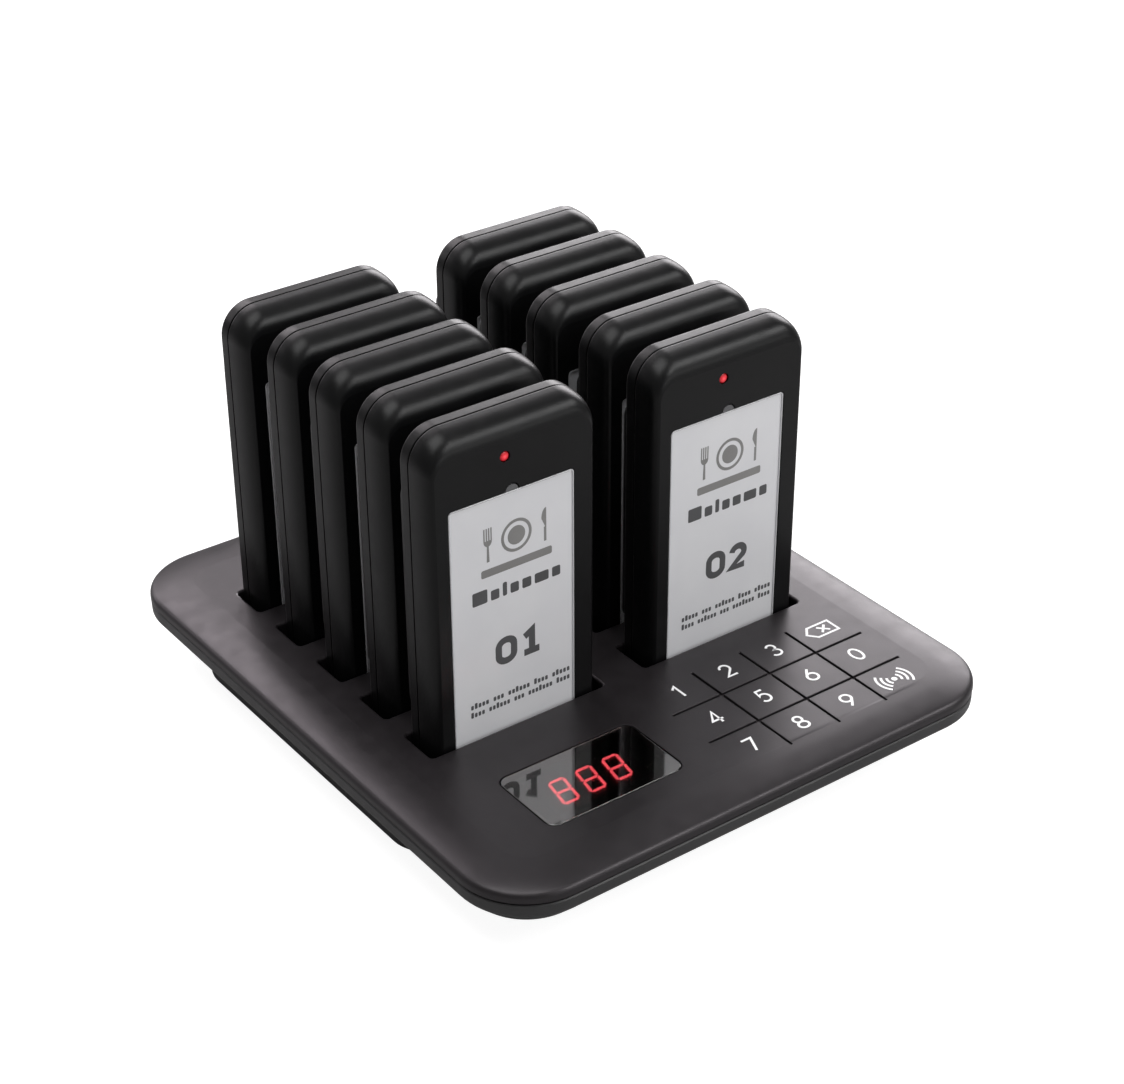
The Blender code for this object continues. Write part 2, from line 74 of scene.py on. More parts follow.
PG_W, PG_H, PG_R = PG_HI.x - PG_LO.x, PG_HI.z - PG_LO.z, 9.0 * MM
PG_T, PG_SEAM, WALL = 11.8 * MM, 7.9 * MM, 1.6 * MM
FACE_ROUND = 6.2 * MM                       # reach of the front rounding at the pager's ends
SIDE_ROUND, CORNER_ROUND = 0.38, 0.72       # parts of it at the sides and off the corner radius
CARD_LO, CARD_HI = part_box("label_card_01")
CARD_W, CARD_H, CARD_R = CARD_HI.x - CARD_LO.x, CARD_HI.z - CARD_LO.z, 0.9 * MM
CARD_X, PRINT_X = -0.85 * MM, 0.45 * MM     # middle of the card, middle of its printing
CARD_Z = (CARD_LO.z - PG_LO.z, CARD_HI.z - PG_LO.z)
CARD_Y = CARD_LO.y - PG_LO.y
CARD_GAP = 0.3 * MM
LED_X, LED_Z = -2.8 * MM, 95.1 * MM
BUMP_W, BUMP_Z, BUMP_T = 49.6 * MM, (21.5 * MM, 89.2 * MM), 3.0 * MM
CONTACT_X, CONTACT_Y = 7.0 * MM, 5.8 * MM
CORE_BOARD_Y = (5.2 * MM, 6.2 * MM)         # faces of the pager's circuit board

KEY_X = (15.6 * MM, 32.4 * MM, 49.1 * MM)
KEY_Y = (-57.0 * MM, -72.1 * MM)
KEY_X_ENDS = (-1.2 * MM, 66.0 * MM)
KEY_Y_ENDS = (-85.4 * MM, -44.2 * MM)
GROOVE_W, GROOVE_H = 0.8 * MM, 0.7 * MM
WIN_LO, WIN_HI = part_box("display_window")
WIN_C = (WIN_LO + WIN_HI) / 2
WIN_W, WIN_D, WIN_R = WIN_HI.x - WIN_LO.x, WIN_HI.y - WIN_LO.y, 3.0 * MM
MODULE_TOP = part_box("display_module")[1].z
INK_LO, INK_HI = -0.02 * MM, 0.03 * MM      # foot and face of a printed mark, off its surface


# ------------------------------------------------------------------ mesh helpers
SHARP_ANGLE = 35.0


def middle(node):
    """Middle of a CAD node's box, seen from above."""
    lo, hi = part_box(node)
    return ((lo.x + hi.x) / 2, (lo.y + hi.y) / 2)


def middle_from_back(node):
    """Middle of a CAD node's box, seen from behind."""
    lo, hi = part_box(node)
    return ((lo.x + hi.x) / 2, (lo.z + hi.z) / 2)


def outline(w, d, r, segs):
    """Rounded rectangle round the origin, anticlockwise."""
    pts = []
    for sx, sy, a0 in ((1, 1, 0), (-1, 1, 90), (-1, -1, 180), (1, -1, 270)):
        for k in range(segs + 1):
            a = math.radians(a0 + 90.0 * k / segs)
            pts.append((sx * (w / 2 - r) + r * math.cos(a), sy * (d / 2 - r) + r * math.sin(a)))
    return pts


def smooth_line(points, steps):
    """Catmull-Rom curve through 2D points, steps pieces between each pair."""
    pts = [points[0]] + list(points) + [points[-1]]
    out = []
    for p0, p1, p2, p3 in zip(pts, pts[1:], pts[2:], pts[3:]):
        for k in range(steps):
            t = k / steps
            out.append(tuple(0.5 * (2 * b + (c - a) * t + (2 * a - 5 * b + 4 * c - d) * t * t
                                    + (3 * b - a - 3 * c + d) * t ** 3)
                             for a, b, c, d in zip(p0, p1, p2, p3)))
    out.append(tuple(points[-1]))
    return [(max(i, 0.0), h) for i, h in out]


def inset_rings(w, d, r, profile):
    """Rings of one outline drawn inwards by profile (inset, height) pairs."""
    return [(w - 2 * i, d - 2 * i, max(r - i, 0.05 * MM), h) for i, h in profile]


def add_loft(bm, rings, centre=(0.0, 0.0), segs=8, axis="Z"):
    """Closed skin through rounded-rectangle rings (w, d, r, height), both ends capped."""
    loops = []
    for w, d, r, h in rings:
        pts = [(a + centre[0], b + centre[1]) for a, b in outline(w, d, r, segs)]
        loops.append([bm.verts.new((a, b, h) if axis == "Z" else (a, h, b)) for a, b in pts])
    n = len(loops[0])
    for lo, hi in zip(loops, loops[1:]):
        for k in range(n):
            bm.faces.new((lo[k], lo[(k + 1) % n], hi[(k + 1) % n], hi[k]))
    bm.faces.new(loops[0])
    bm.faces.new(loops[-1])


def add_turned(bm, profile, centre, axis="Z", sides=48):
    """Closed solid turned round an axis: profile holds (radius, height) pairs, both ends capped."""
    loops = []
    for r, h in profile:
        loop = []
        for k in range(sides):
            a = 2 * math.pi * k / sides
            p, q = centre[0] + r * math.cos(a), centre[1] + r * math.sin(a)
            loop.append(bm.verts.new({"Z": (p, q, h), "Y": (p, h, q), "X": (h, p, q)}[axis]))
        loops.append(loop)
    for lo, hi in zip(loops, loops[1:]):
        for k in range(sides):
            bm.faces.new((lo[k], lo[(k + 1) % sides], hi[(k + 1) % sides], hi[k]))
    bm.faces.new(loops[0])
    bm.faces.new(loops[-1])


def add_box(bm, x, y, z):
    """Box between the (low, high) pairs of each axis."""
    cube = bmesh.ops.create_cube(bm, size=1.0)
    for v in cube["verts"]:
        v.co = Vector([lo + (c + 0.5) * (hi - lo) for c, (lo, hi) in zip(v.co, (x, y, z))])


def make(name, bm, material=None):
    """Turns a bmesh into an object of the scene."""
    bmesh.ops.recalc_face_normals(bm, faces=bm.faces)
    me = bpy.data.meshes.new(name)
    bm.to_mesh(me)
    bm.free()
    if material is not None:
        me.materials.append(material)
    ob = bpy.data.objects.new(name, me)
    bpy.context.scene.collection.objects.link(ob)
    return ob


def combine(target, *steps):
    """Runs booleans (operation, tool) in order and bakes the result into the target's mesh."""
    for operation, tool in steps:
        m = target.modifiers.new("shape", "BOOLEAN")
        m.operation, m.solver, m.object = operation, "EXACT", tool
    deps = bpy.context.evaluated_depsgraph_get()
    baked = bpy.data.meshes.new_from_object(target.evaluated_get(deps))
    target.modifiers.clear()
    target.data = baked
    for _, tool in steps:
        bpy.data.objects.remove(tool, do_unlink=True)
    return target


def shade(ob):
    """Smooth shading that keeps flat faces flat and sharp edges sharp."""
    ob.data.shade_smooth()
    ob.data.set_sharp_from_angle(angle=math.radians(SHARP_ANGLE))
    m = ob.modifiers.new("normals", "WEIGHTED_NORMAL")
    m.keep_sharp = True
    m.weight = 80
    return ob


def edge(lip, steps=4):
    """(outward step, depth) pairs of a rounded mouth, from its foot up to the surface."""
    return [(lip * (1 - math.cos(a)), -lip * (1 - math.sin(a)))
            for a in (math.pi / 2 * k / steps for k in range(steps + 1))]


# ------------------------------------------------------------------ material helpers
class Shader:
    """A material's node tree with short ways to add nodes."""

    def __init__(self, name, colour, rough, **sockets):
        self.mat = bpy.data.materials.new(name)
        self.mat.use_nodes = True
        self.tree = self.mat.node_tree
        self.bsdf = self.tree.nodes["Principled BSDF"]
        self.set(self.bsdf, **{"Base Color": (*colour, 1.0), "Roughness": rough, **sockets})
        self.coords = self.node("ShaderNodeTexCoord")

    def set(self, node, **sockets):
        for key, value in sockets.items():
            node.inputs[key].default_value = value

    def node(self, kind, **sockets):
        n = self.tree.nodes.new(kind)
        self.set(n, **sockets)
        return n

    def link(self, a, b):
        self.tree.links.new(a, b)

    def spread(self):
        """Object coordinates, moved by a different amount for each object."""
        info = self.node("ShaderNodeObjectInfo")
        scale = self.node("ShaderNodeVectorMath")
        scale.operation = "SCALE"
        scale.inputs["Scale"].default_value = 3.0
        move = self.node("ShaderNodeVectorMath")
        move.operation = "ADD"
        self.link(info.outputs["Random"], scale.inputs[0])
        self.link(self.coords.outputs["Object"], move.inputs[0])
        self.link(scale.outputs["Vector"], move.inputs[1])
        return move.outputs["Vector"]

    def noise(self, where, size, detail=2.0, rough=0.5):
        """Noise whose lumps are about size across."""
        n = self.node("ShaderNodeTexNoise", Scale=1.0 / size, Detail=detail, Roughness=rough)
        self.link(where, n.inputs["Vector"])
        return n.outputs["Fac"]

    def ramp(self, value, *stops):
        """Map a value to colours: stops are (position, (r, g, b))."""
        r = self.node("ShaderNodeValToRGB")
        band = r.color_ramp
        while len(band.elements) < len(stops):
            band.elements.new(0.5)
        for e, (pos, colour) in zip(band.elements, stops):
            e.position = pos
            e.color = (*colour, 1.0)
        self.link(value, r.inputs["Fac"])
        return r.outputs["Color"]

    def span(self, value, lo, hi, from_lo=0.3, from_hi=0.7):
        """Stretch a value from one range to another; noise mostly lies between 0.3 and 0.7."""
        r = self.node("ShaderNodeMapRange", **{"From Min": from_lo, "From Max": from_hi,
                                               "To Min": lo, "To Max": hi})
        self.link(value, r.inputs["Value"])
        return r.outputs["Result"]

    def math(self, operation, *values):
        """One sum on sockets and plain numbers."""
        n = self.node("ShaderNodeMath")
        n.operation = operation
        for socket, v in zip(n.inputs, values):
            if isinstance(v, (int, float)):
                socket.default_value = v
            else:
                self.link(v, socket)
        return n.outputs["Value"]

    def mix(self, fac, a, b):
        """Blend two colours, each a socket or an (r, g, b)."""
        n = self.node("ShaderNodeMix")
        n.data_type = "RGBA"
        self.link(fac, n.inputs["Factor"])
        for socket, v in ((n.inputs[6], a), (n.inputs[7], b)):
            if isinstance(v, tuple):
                socket.default_value = (*v, 1.0)
            else:
                self.link(v, socket)
        return n.outputs[2]

    def bump(self, height, strength, distance):
        n = self.node("ShaderNodeBump", Strength=strength, Distance=distance)
        self.link(height, n.inputs["Height"])
        return n.outputs["Normal"]

    def axis(self, where, index):
        s = self.node("ShaderNodeSeparateXYZ")
        self.link(where, s.inputs["Vector"])
        return s.outputs[index]


def moulded(name, dark, light, rough, grain=0.35 * MM, depth=0.012 * MM, **sockets):
    """Spark-eroded satin plastic: fine grain in the bump, faint clouds in colour and roughness."""
    s = Shader(name, dark, rough, **sockets)
    where = s.spread()
    clouds = s.noise(where, 18 * MM, 3.0)
    s.link(s.ramp(clouds, (0.35, dark), (0.65, light)), s.bsdf.inputs["Base Color"])
    fine = s.noise(where, grain, 2.0, 0.6)
    wear = s.noise(where, 5 * MM, 4.0)
    s.link(s.span(s.math("ADD", s.math("MULTIPLY", fine, 0.4), s.math("MULTIPLY", wear, 0.6)),
                  rough - 0.05, rough + 0.06), s.bsdf.inputs["Roughness"])
    s.link(s.bump(fine, 0.5, depth), s.bsdf.inputs["Normal"])
    return s.mat


# ------------------------------------------------------------------ materials
MAT_TOP = moulded("top_shell_satin", (0.0105, 0.0090, 0.0100), (0.0130, 0.0112, 0.0124), 0.38,
                   grain=0.30 * MM, depth=0.018 * MM, **{"Specular Tint": (1.0, 0.94, 0.98, 1.0)})
# partly painted reflection: the tray's own dark grey, raised about threefold over the top cover's to stand
# in for the white floor it reflects
MAT_LOWER_PAINTED_REFLECTION = moulded("lower_shell_satin_painted_reflection", (0.031, 0.030, 0.031), (0.036, 0.035, 0.036), 0.42)
MAT_PAGER = moulded("pager_satin", (0.0030, 0.0030, 0.0033), (0.0042, 0.0042, 0.0045), 0.34,
                    grain=0.30 * MM, depth=0.03 * MM, **{"Specular IOR Level": 0.26})
MAT_CARD = moulded("card_white", (0.82, 0.82, 0.845), (0.85, 0.85, 0.87), 0.38, grain=0.25 * MM,
                   depth=0.002 * MM, **{"Coat Weight": 0.4, "Coat Roughness": 0.12})
# painted highlight: the clear cover's edge is drawn opaque light grey for the light line it catches
MAT_RIM_PAINTED_HIGHLIGHT = moulded("card_rim_painted_highlight", (0.62, 0.62, 0.64), (0.68, 0.68, 0.70), 0.18, depth=0.002 * MM)
MAT_TAB = moulded("card_tab_clear", (0.11, 0.11, 0.115), (0.14, 0.14, 0.145), 0.15, depth=0.002 * MM)
MAT_ICON = moulded("ink_mid_grey", (0.25, 0.245, 0.24), (0.28, 0.275, 0.27), 0.45, depth=0.002 * MM)
MAT_INK = moulded("ink_dark_grey", (0.085, 0.085, 0.088), (0.10, 0.10, 0.105), 0.45, depth=0.002 * MM)
MAT_LEGEND = moulded("legend_white", (0.90, 0.90, 0.90), (0.94, 0.94, 0.94), 0.50, depth=0.003 * MM)
MAT_BLACK = moulded("module_black", (0.012, 0.012, 0.012), (0.018, 0.018, 0.018), 0.55)
MAT_RUBBER = moulded("foot_rubber", (0.018, 0.018, 0.018), (0.028, 0.028, 0.028), 0.80,
                     grain=0.5 * MM, depth=0.04 * MM)
MAT_SWITCH = moulded("switch_black", (0.020, 0.020, 0.020), (0.026, 0.026, 0.026), 0.36)


def smoked_window():
    """Dark glossy pane, faintly smeared, that lets the lit figures through."""
    s = Shader("window_smoked", (0.13, 0.10, 0.095), 0.08, IOR=2.3,
               **{"Transmission Weight": 1.0})
    where = s.spread()
    smears = s.noise(where, 9 * MM, 4.0, 0.6)
    s.link(s.span(smears, 0.035, 0.06), s.bsdf.inputs["Roughness"])
    s.link(s.bump(s.noise(where, 22 * MM, 1.0), 0.2, 0.003 * MM), s.bsdf.inputs["Normal"])
    return s.mat


def glowing(name, colour, strength):
    """A lit plastic light bar, a little uneven along its length. The same glow also paints the light that
    spills round the bars.
    """
    s = Shader(name, (0.30, 0.02, 0.02), 0.35, **{"Emission Color": (*colour, 1.0)})
    cloud = s.noise(s.spread(), 1.6 * MM, 1.0)
    s.link(s.span(cloud, 0.92 * strength, 1.08 * strength), s.bsdf.inputs["Emission Strength"])
    return s.mat


def led_dome():
    """Red dome: pale hot middle, deep red edge, by the distance from its own axis."""
    s = Shader("led_red", (0.35, 0.01, 0.015), 0.25)
    where = s.coords.outputs["Object"]
    dx = s.math("SUBTRACT", s.axis(where, "X"), LED_X)
    dz = s.math("SUBTRACT", s.axis(where, "Z"), LED_Z)
    off = s.math("SQRT", s.math("ADD", s.math("MULTIPLY", dx, dx), s.math("MULTIPLY", dz, dz)))
    out = s.math("DIVIDE", off, 1.3 * MM)
    s.link(s.ramp(out, (0.0, (0.92, 0.10, 0.13)), (0.45, (0.72, 0.030, 0.045)),
                  (1.0, (0.16, 0.003, 0.005))), s.bsdf.inputs["Emission Color"])
    s.link(s.span(out, 0.95, 0.6, 0.0, 1.0), s.bsdf.inputs["Emission Strength"])
    return s.mat


def metal(name, dark, light, rough, grain, streaks=1.0):
    """Bare metal with fine drawn marks."""
    s = Shader(name, dark, rough, Metallic=1.0)
    where = s.spread()
    stretch = s.node("ShaderNodeMapping")
    stretch.inputs["Scale"].default_value = (1.0, 1.0, streaks)
    s.link(where, stretch.inputs["Vector"])
    marks = s.noise(stretch.outputs["Vector"], grain, 3.0, 0.6)
    s.link(s.ramp(marks, (0.3, dark), (0.7, light)), s.bsdf.inputs["Base Color"])
    s.link(s.span(marks, rough - 0.08, rough + 0.12), s.bsdf.inputs["Roughness"])
    s.link(s.bump(marks, 0.3, 0.01 * MM), s.bsdf.inputs["Normal"])
    return s.mat


def board(name, part_axis, coords, lo, hi, parts=(0.03, 0.03, 0.032), tall=None):
    """Circuit board: green mask with copper tracks and pale silk marks; parts stand proud of it.

    part_axis runs through the board's thickness, which is lo to hi in the chosen coordinates. What
    lies outside it has the parts' colour, and what lies beyond tall is gold."""
    s = Shader(name, (0.01, 0.10, 0.04), 0.40)
    where = s.coords.outputs[coords]
    across = s.axis(where, part_axis)
    grid = s.node("ShaderNodeTexBrick", **{"Scale": 260.0 if coords == "Object" else 14.0,
                                           "Mortar Size": 0.06, "Brick Width": 0.9, "Row Height": 0.32})
    grid.inputs["Color1"].default_value = (0.010, 0.105, 0.040, 1.0)
    grid.inputs["Color2"].default_value = (0.014, 0.130, 0.050, 1.0)
    grid.inputs["Mortar"].default_value = (0.045, 0.210, 0.075, 1.0)
    s.link(where, grid.inputs["Vector"])
    specks = s.noise(where, 2.2 * MM if coords == "Object" else 0.03, 1.0)
    silk = s.ramp(specks, (0.70, (0, 0, 0)), (0.72, (1, 1, 1)))
    mask = s.mix(silk, grid.outputs["Color"], (0.70, 0.72, 0.68))
    above = s.math("GREATER_THAN", across, hi)
    below = s.math("LESS_THAN", across, lo)
    colour = s.mix(s.math("MAXIMUM", above, below), mask, parts)
    if tall is not None:
        colour = s.mix(s.math("GREATER_THAN", across, tall), colour, (0.62, 0.45, 0.18))
    s.link(colour, s.bsdf.inputs["Base Color"])
    s.link(s.span(specks, 0.34, 0.50), s.bsdf.inputs["Roughness"])
    s.link(s.bump(grid.outputs["Fac"], 0.3, 0.03 * MM), s.bsdf.inputs["Normal"])
    return s.mat


def pale_floor():
    """Pale table. Only the camera sees its glow, so it whitens the ground without lighting the set."""
    s = Shader("floor_white", (0.40, 0.40, 0.40), 0.9, **{"Specular IOR Level": 0.1,
                                                          "Emission Color": (1.0, 1.0, 1.0, 1.0)})
    where = s.coords.outputs["Object"]
    s.link(s.ramp(s.noise(where, 0.4, 2.0), (0.3, (0.38, 0.38, 0.38)), (0.7, (0.42, 0.42, 0.42))),
           s.bsdf.inputs["Base Color"])
    s.link(s.bump(s.noise(where, 0.004, 2.0), 0.05, 0.1 * MM), s.bsdf.inputs["Normal"])
    seen = s.node("ShaderNodeLightPath").outputs["Is Camera Ray"]
    s.link(s.math("MULTIPLY", seen, 0.90), s.bsdf.inputs["Emission Strength"])
    return s.mat


MAT_WINDOW = smoked_window()
MAT_SEGMENT = glowing("segment_red", (1.0, 0.13, 0.17), 9.0)
# painted glow: this material lights a sheet round each bar in place of the light spilling from it
MAT_PAINTED_HALO = glowing("segment_painted_halo", (0.42, 0.010, 0.02), 1.2)
MAT_LED = led_dome()
MAT_STEEL = metal("screw_steel", (0.50, 0.50, 0.51), (0.62, 0.62, 0.63), 0.28, 0.6 * MM)
MAT_COPPER = metal("antenna_copper", (0.58, 0.28, 0.14), (0.70, 0.38, 0.22), 0.30, 0.4 * MM, 6.0)
MAT_NICKEL = metal("inlet_nickel", (0.58, 0.57, 0.54), (0.68, 0.67, 0.64), 0.25, 0.3 * MM)


# ------------------------------------------------------------------ base shells
def top_cover():
    """Pillow-topped cover with ten slots, the key grooves and the window seat."""
    bm = bmesh.new()
    shoulder = [(0.0, Z_TOP - 3.3 * MM), (0.10 * MM, Z_TOP - 2.6 * MM), (0.55 * MM, Z_TOP - 1.9 * MM),
                (1.6 * MM, Z_TOP - 1.36 * MM), (4.2 * MM, Z_TOP - 0.78 * MM), (8.2 * MM, Z_TOP - 0.25 * MM),
                (13.0 * MM, Z_TOP)]
    foot = [(0.35 * MM, Z_SEAM), (0.0, Z_SEAM + 0.3 * MM)]
    add_loft(bm, inset_rings(BASE_W, BASE_D, BASE_R, foot + smooth_line(shoulder, 5)), segs=18)
    cover = make("top_cover", bm, MAT_TOP)

    hollow = bmesh.new()
    add_loft(hollow, inset_rings(BASE_W, BASE_D, BASE_R, [
        (2.0 * MM, Z_SEAM - 1 * MM), (2.0 * MM, Z_TOP - 3.9 * MM), (5.0 * MM, Z_TOP - 2.9 * MM),
        (12.0 * MM, Z_TOP - 2.2 * MM)]), segs=10)

    pockets, first, second = bmesh.new(), bmesh.new(), bmesh.new()
    slot_d, slot_floor = PG_T + SLOT_FRONT + SLOT_BACK, Z_TOP - SLOT_DEPTH
    for col_x in COL_X:
        for row in range(len(NUMBERS) // COLUMNS):
            y_face = ROW_Y0 + row * ROW_PITCH
            mid = (col_x, y_face + (PG_T + SLOT_BACK - SLOT_FRONT) / 2)
            add_loft(pockets, [(SLOT_W + 2 * SLOT_WALL, slot_d + 2 * SLOT_WALL, SLOT_R + SLOT_WALL, h)
                               for h in (slot_floor - SLOT_WALL, Z_TOP - 1.6 * MM)], mid, 6)
            mouth = [(0.0, slot_floor)]
            mouth += [(-out, Z_TOP + down) for out, down in edge(SLOT_LIP)]
            mouth += [(-SLOT_LIP, Z_TOP + 1 * MM)]
            add_loft(first, inset_rings(SLOT_W, slot_d, SLOT_R, mouth), mid, 6)
            for side_x in (-CONTACT_X, CONTACT_X):
                add_turned(second, [(1.4 * MM, slot_floor - 3 * MM), (1.4 * MM, slot_floor + 1 * MM)],
                           (col_x + side_x, y_face + CONTACT_Y), sides=20)
    for k in range(1, 5):
        post = middle("screw_%d" % k)
        add_turned(pockets, [(2.7 * MM, Z_TRAY + 2.4 * MM), (2.7 * MM, Z_TOP - 1.9 * MM)], post, sides=24)
        add_turned(second, [(1.3 * MM, Z_TRAY), (1.3 * MM, Z_TOP - 4.5 * MM)], post, sides=20)
    groove = [(0.0, Z_TOP - GROOVE_H), (0.0, Z_TOP - 0.14 * MM), (-0.06 * MM, Z_TOP - 0.05 * MM),
              (-0.16 * MM, Z_TOP), (-0.16 * MM, Z_TOP + 1 * MM)]
    y_mid, y_len = sum(KEY_Y_ENDS) / 2, KEY_Y_ENDS[1] - KEY_Y_ENDS[0]
    x_mid, x_len = sum(KEY_X_ENDS) / 2, KEY_X_ENDS[1] - KEY_X_ENDS[0]
    for x in KEY_X:
        add_loft(first, inset_rings(GROOVE_W, y_len, 0.1 * MM, groove), (x, y_mid), 3)
    for y in KEY_Y:
        add_loft(second, inset_rings(x_len, GROOVE_W, 0.1 * MM, groove), (x_mid, y), 3)
    seat = WIN_LO.z - 0.3 * MM
    add_loft(first, inset_rings(WIN_W + 0.6 * MM, WIN_D + 0.6 * MM, WIN_R + 0.3 * MM, [
        (0.0, seat), (0.0, Z_TOP - 0.15 * MM), (-0.05 * MM, Z_TOP - 0.04 * MM), (-0.12 * MM, Z_TOP),
        (-0.12 * MM, Z_TOP + 1 * MM)]), WIN_C, 10)
    add_loft(second, [(WIN_W - 3.4 * MM, WIN_D - 3.4 * MM, 2 * MM, h)
                      for h in (Z_TOP - 5 * MM, Z_TOP - 1 * MM)], WIN_C, 6)
    combine(cover, ("DIFFERENCE", make("hollow", hollow)), ("UNION", make("pockets", pockets)),
            ("DIFFERENCE", make("first_cuts", first)), ("DIFFERENCE", make("second_cuts", second)))
    return shade(cover)


def lower_cover():
    """Tray with a bevelled underside and the deep part that holds the charging boards."""
    bm = bmesh.new()
    foot = [(5.6 * MM, Z_TRAY), (4.6 * MM, Z_TRAY + 0.25 * MM)]
    wall = [(1.0 * MM, Z_TOP - 9.2 * MM), (0.25 * MM, Z_TOP - 8.2 * MM), (0.1 * MM, Z_TOP - 7.0 * MM),
            (0.1 * MM, Z_RIM - 0.3 * MM)]
    add_loft(bm, inset_rings(BASE_W, BASE_D, BASE_R, foot + smooth_line(wall, 4) + [(0.4 * MM, Z_RIM)]),
             segs=18)
    cover = make("lower_cover", bm, MAT_LOWER_PAINTED_REFLECTION)
    ped_c, ped_d = (0.0, sum(PED_Y) / 2), PED_Y[1] - PED_Y[0]
    deep = bmesh.new()
    belly = [(1.4 * MM, Z_PED), (0.5 * MM, Z_PED + 0.5 * MM), (0.1 * MM, Z_PED + 1.4 * MM),
             (0.0, Z_PED + 2.6 * MM)]
    add_loft(deep, inset_rings(PED_W, ped_d, PED_R, smooth_line(belly, 3) + [(0.0, Z_TRAY + 1 * MM)]),
             ped_c, 14)
    jack = middle_from_back("power_jack")
    knob_x, knob_z = middle_from_back("power_switch")
    way_x = knob_x + SWITCH_TRAVEL / 2
    pad = bmesh.new()
    add_box(pad, (jack[0] - 6 * MM, way_x + 7 * MM), (88 * MM, BACK_Y),
            (Z_TRAY + 0.4 * MM, Z_RIM - 1.0 * MM))
    inner = bmesh.new()
    add_loft(inner, inset_rings(BASE_W, BASE_D, BASE_R, [
        (6.2 * MM, Z_TRAY + 1.8 * MM), (2.6 * MM, Z_TRAY + 4.6 * MM), (2.2 * MM, Z_TOP - 7.2 * MM),
        (2.2 * MM, Z_TOP)]), segs=10)
    deep_in = bmesh.new()
    add_loft(deep_in, [(PED_W - 4 * MM, ped_d - 4 * MM, PED_R - 2 * MM, h)
                       for h in (Z_PED + 1.8 * MM, Z_TRAY + 3 * MM)], ped_c, 8)
    ways, seats = bmesh.new(), bmesh.new()
    for k in range(1, 5):
        lo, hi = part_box("foot_%d" % k)
        r = (hi.x - lo.x) / 2 + 0.3 * MM
        add_turned(ways, [(r + 0.3 * MM, Z_PED - 1 * MM), (r + 0.3 * MM, Z_PED), (r, Z_PED + 0.25 * MM),
                          (r, Z_PED + 0.8 * MM)], middle("foot_%d" % k), sides=48)
        post = middle("screw_%d" % k)
        add_turned(ways, [(1.4 * MM, 0.0), (1.4 * MM, Z_TOP)], post, sides=24)
        add_turned(seats, [(3.2 * MM, 0.0), (3.2 * MM, Z_TRAY), (2.9 * MM, Z_TRAY + 0.3 * MM),
                           (2.9 * MM, Z_TRAY + 1.1 * MM)], post, sides=36)
    add_turned(ways, [(2.3 * MM, 80 * MM), (2.3 * MM, BACK_Y - 0.5 * MM), (2.8 * MM, BACK_Y),
                      (2.8 * MM, 110 * MM)], jack, "Y", 40)
    slot = [(0.0, 80 * MM), (0.0, BACK_Y - 0.4 * MM), (-0.4 * MM, BACK_Y), (-0.4 * MM, 110 * MM)]
    add_loft(ways, inset_rings(6.8 * MM, 2.6 * MM, 0.5 * MM, slot), (way_x, knob_z), 4, "Y")
    combine(cover, ("UNION", make("deep", deep)), ("UNION", make("pad", pad)),
            ("DIFFERENCE", make("inner", inner)), ("DIFFERENCE", make("deep_in", deep_in)),
            ("DIFFERENCE", make("ways", ways)), ("DIFFERENCE", make("seats", seats)))
    return shade(cover)


# ------------------------------------------------------------------ flat marks
def prism(bm, pts, lo, hi, place):
    """Closed flat plate from a 2D outline."""
    a = [bm.verts.new(place(x, y, lo)) for x, y in pts]
    b = [bm.verts.new(place(x, y, hi)) for x, y in pts]
    n = len(pts)
    bm.faces.new(a)
    bm.faces.new(b)
    for k in range(n):
        bm.faces.new((a[k], a[(k + 1) % n], b[(k + 1) % n], b[k]))


def stroke(bm, pts, width, lo, hi, place, closed=False):
    """A line of even width along a 2D path, as a closed plate."""
    n = len(pts)
    left, right = [], []
    for k, p in enumerate(pts):
        before = Vector(pts[k - 1]) if closed or k else None
        after = Vector(pts[(k + 1) % n]) if closed or k < n - 1 else None
        p = Vector(p)
        d0 = (p - before).normalized() if before is not None else None
        d1 = (after - p).normalized() if after is not None else None
        d0, d1 = d0 or d1, d1 or d0
        way = (d0 + d1).normalized()
        mitre = Vector((-way.y, way.x)) * (width / 2) / max(way.dot(d0), 0.5)
        left.append(p + mitre)
        right.append(p - mitre)
    rows = [[bm.verts.new(place(q.x, q.y, h)) for q in side] for side in (left, right) for h in (lo, hi)]
    llo, lhi, rlo, rhi = rows
    for k in range(n if closed else n - 1):
        j = (k + 1) % n
        for a, b, c, d in ((llo[k], llo[j], lhi[j], lhi[k]), (rlo[k], rlo[j], rhi[j], rhi[k]),
                           (lhi[k], lhi[j], rhi[j], rhi[k]), (llo[k], llo[j], rlo[j], rlo[k])):
            bm.faces.new((a, b, c, d))
    if not closed:
        for k in (0, n - 1):
            bm.faces.new((llo[k], lhi[k], rhi[k], rlo[k]))


def outline_at(w, d, r, centre, segs=4):
    """Rounded rectangle round a chosen middle."""
    return [(a + centre[0], b + centre[1]) for a, b in outline(w, d, r, segs)]


def arc(cx, cy, rx, ry, a0, a1, n=18):
    """Points along an elliptical arc, from angle a0 to a1 in degrees."""
    return [(cx + rx * math.cos(math.radians(a0 + (a1 - a0) * k / n)),
             cy + ry * math.sin(math.radians(a0 + (a1 - a0) * k / n))) for k in range(n + 1)]


def ellipse(cx, cy, rx, ry, n=28):
    return arc(cx, cy, rx, ry, 0, 360, n)[:-1]


def turned_over(strokes):
    """A glyph turned half round in its cell."""
    return [([(0.62 - x, 1.0 - y) for x, y in pts], closed) for pts, closed in strokes]


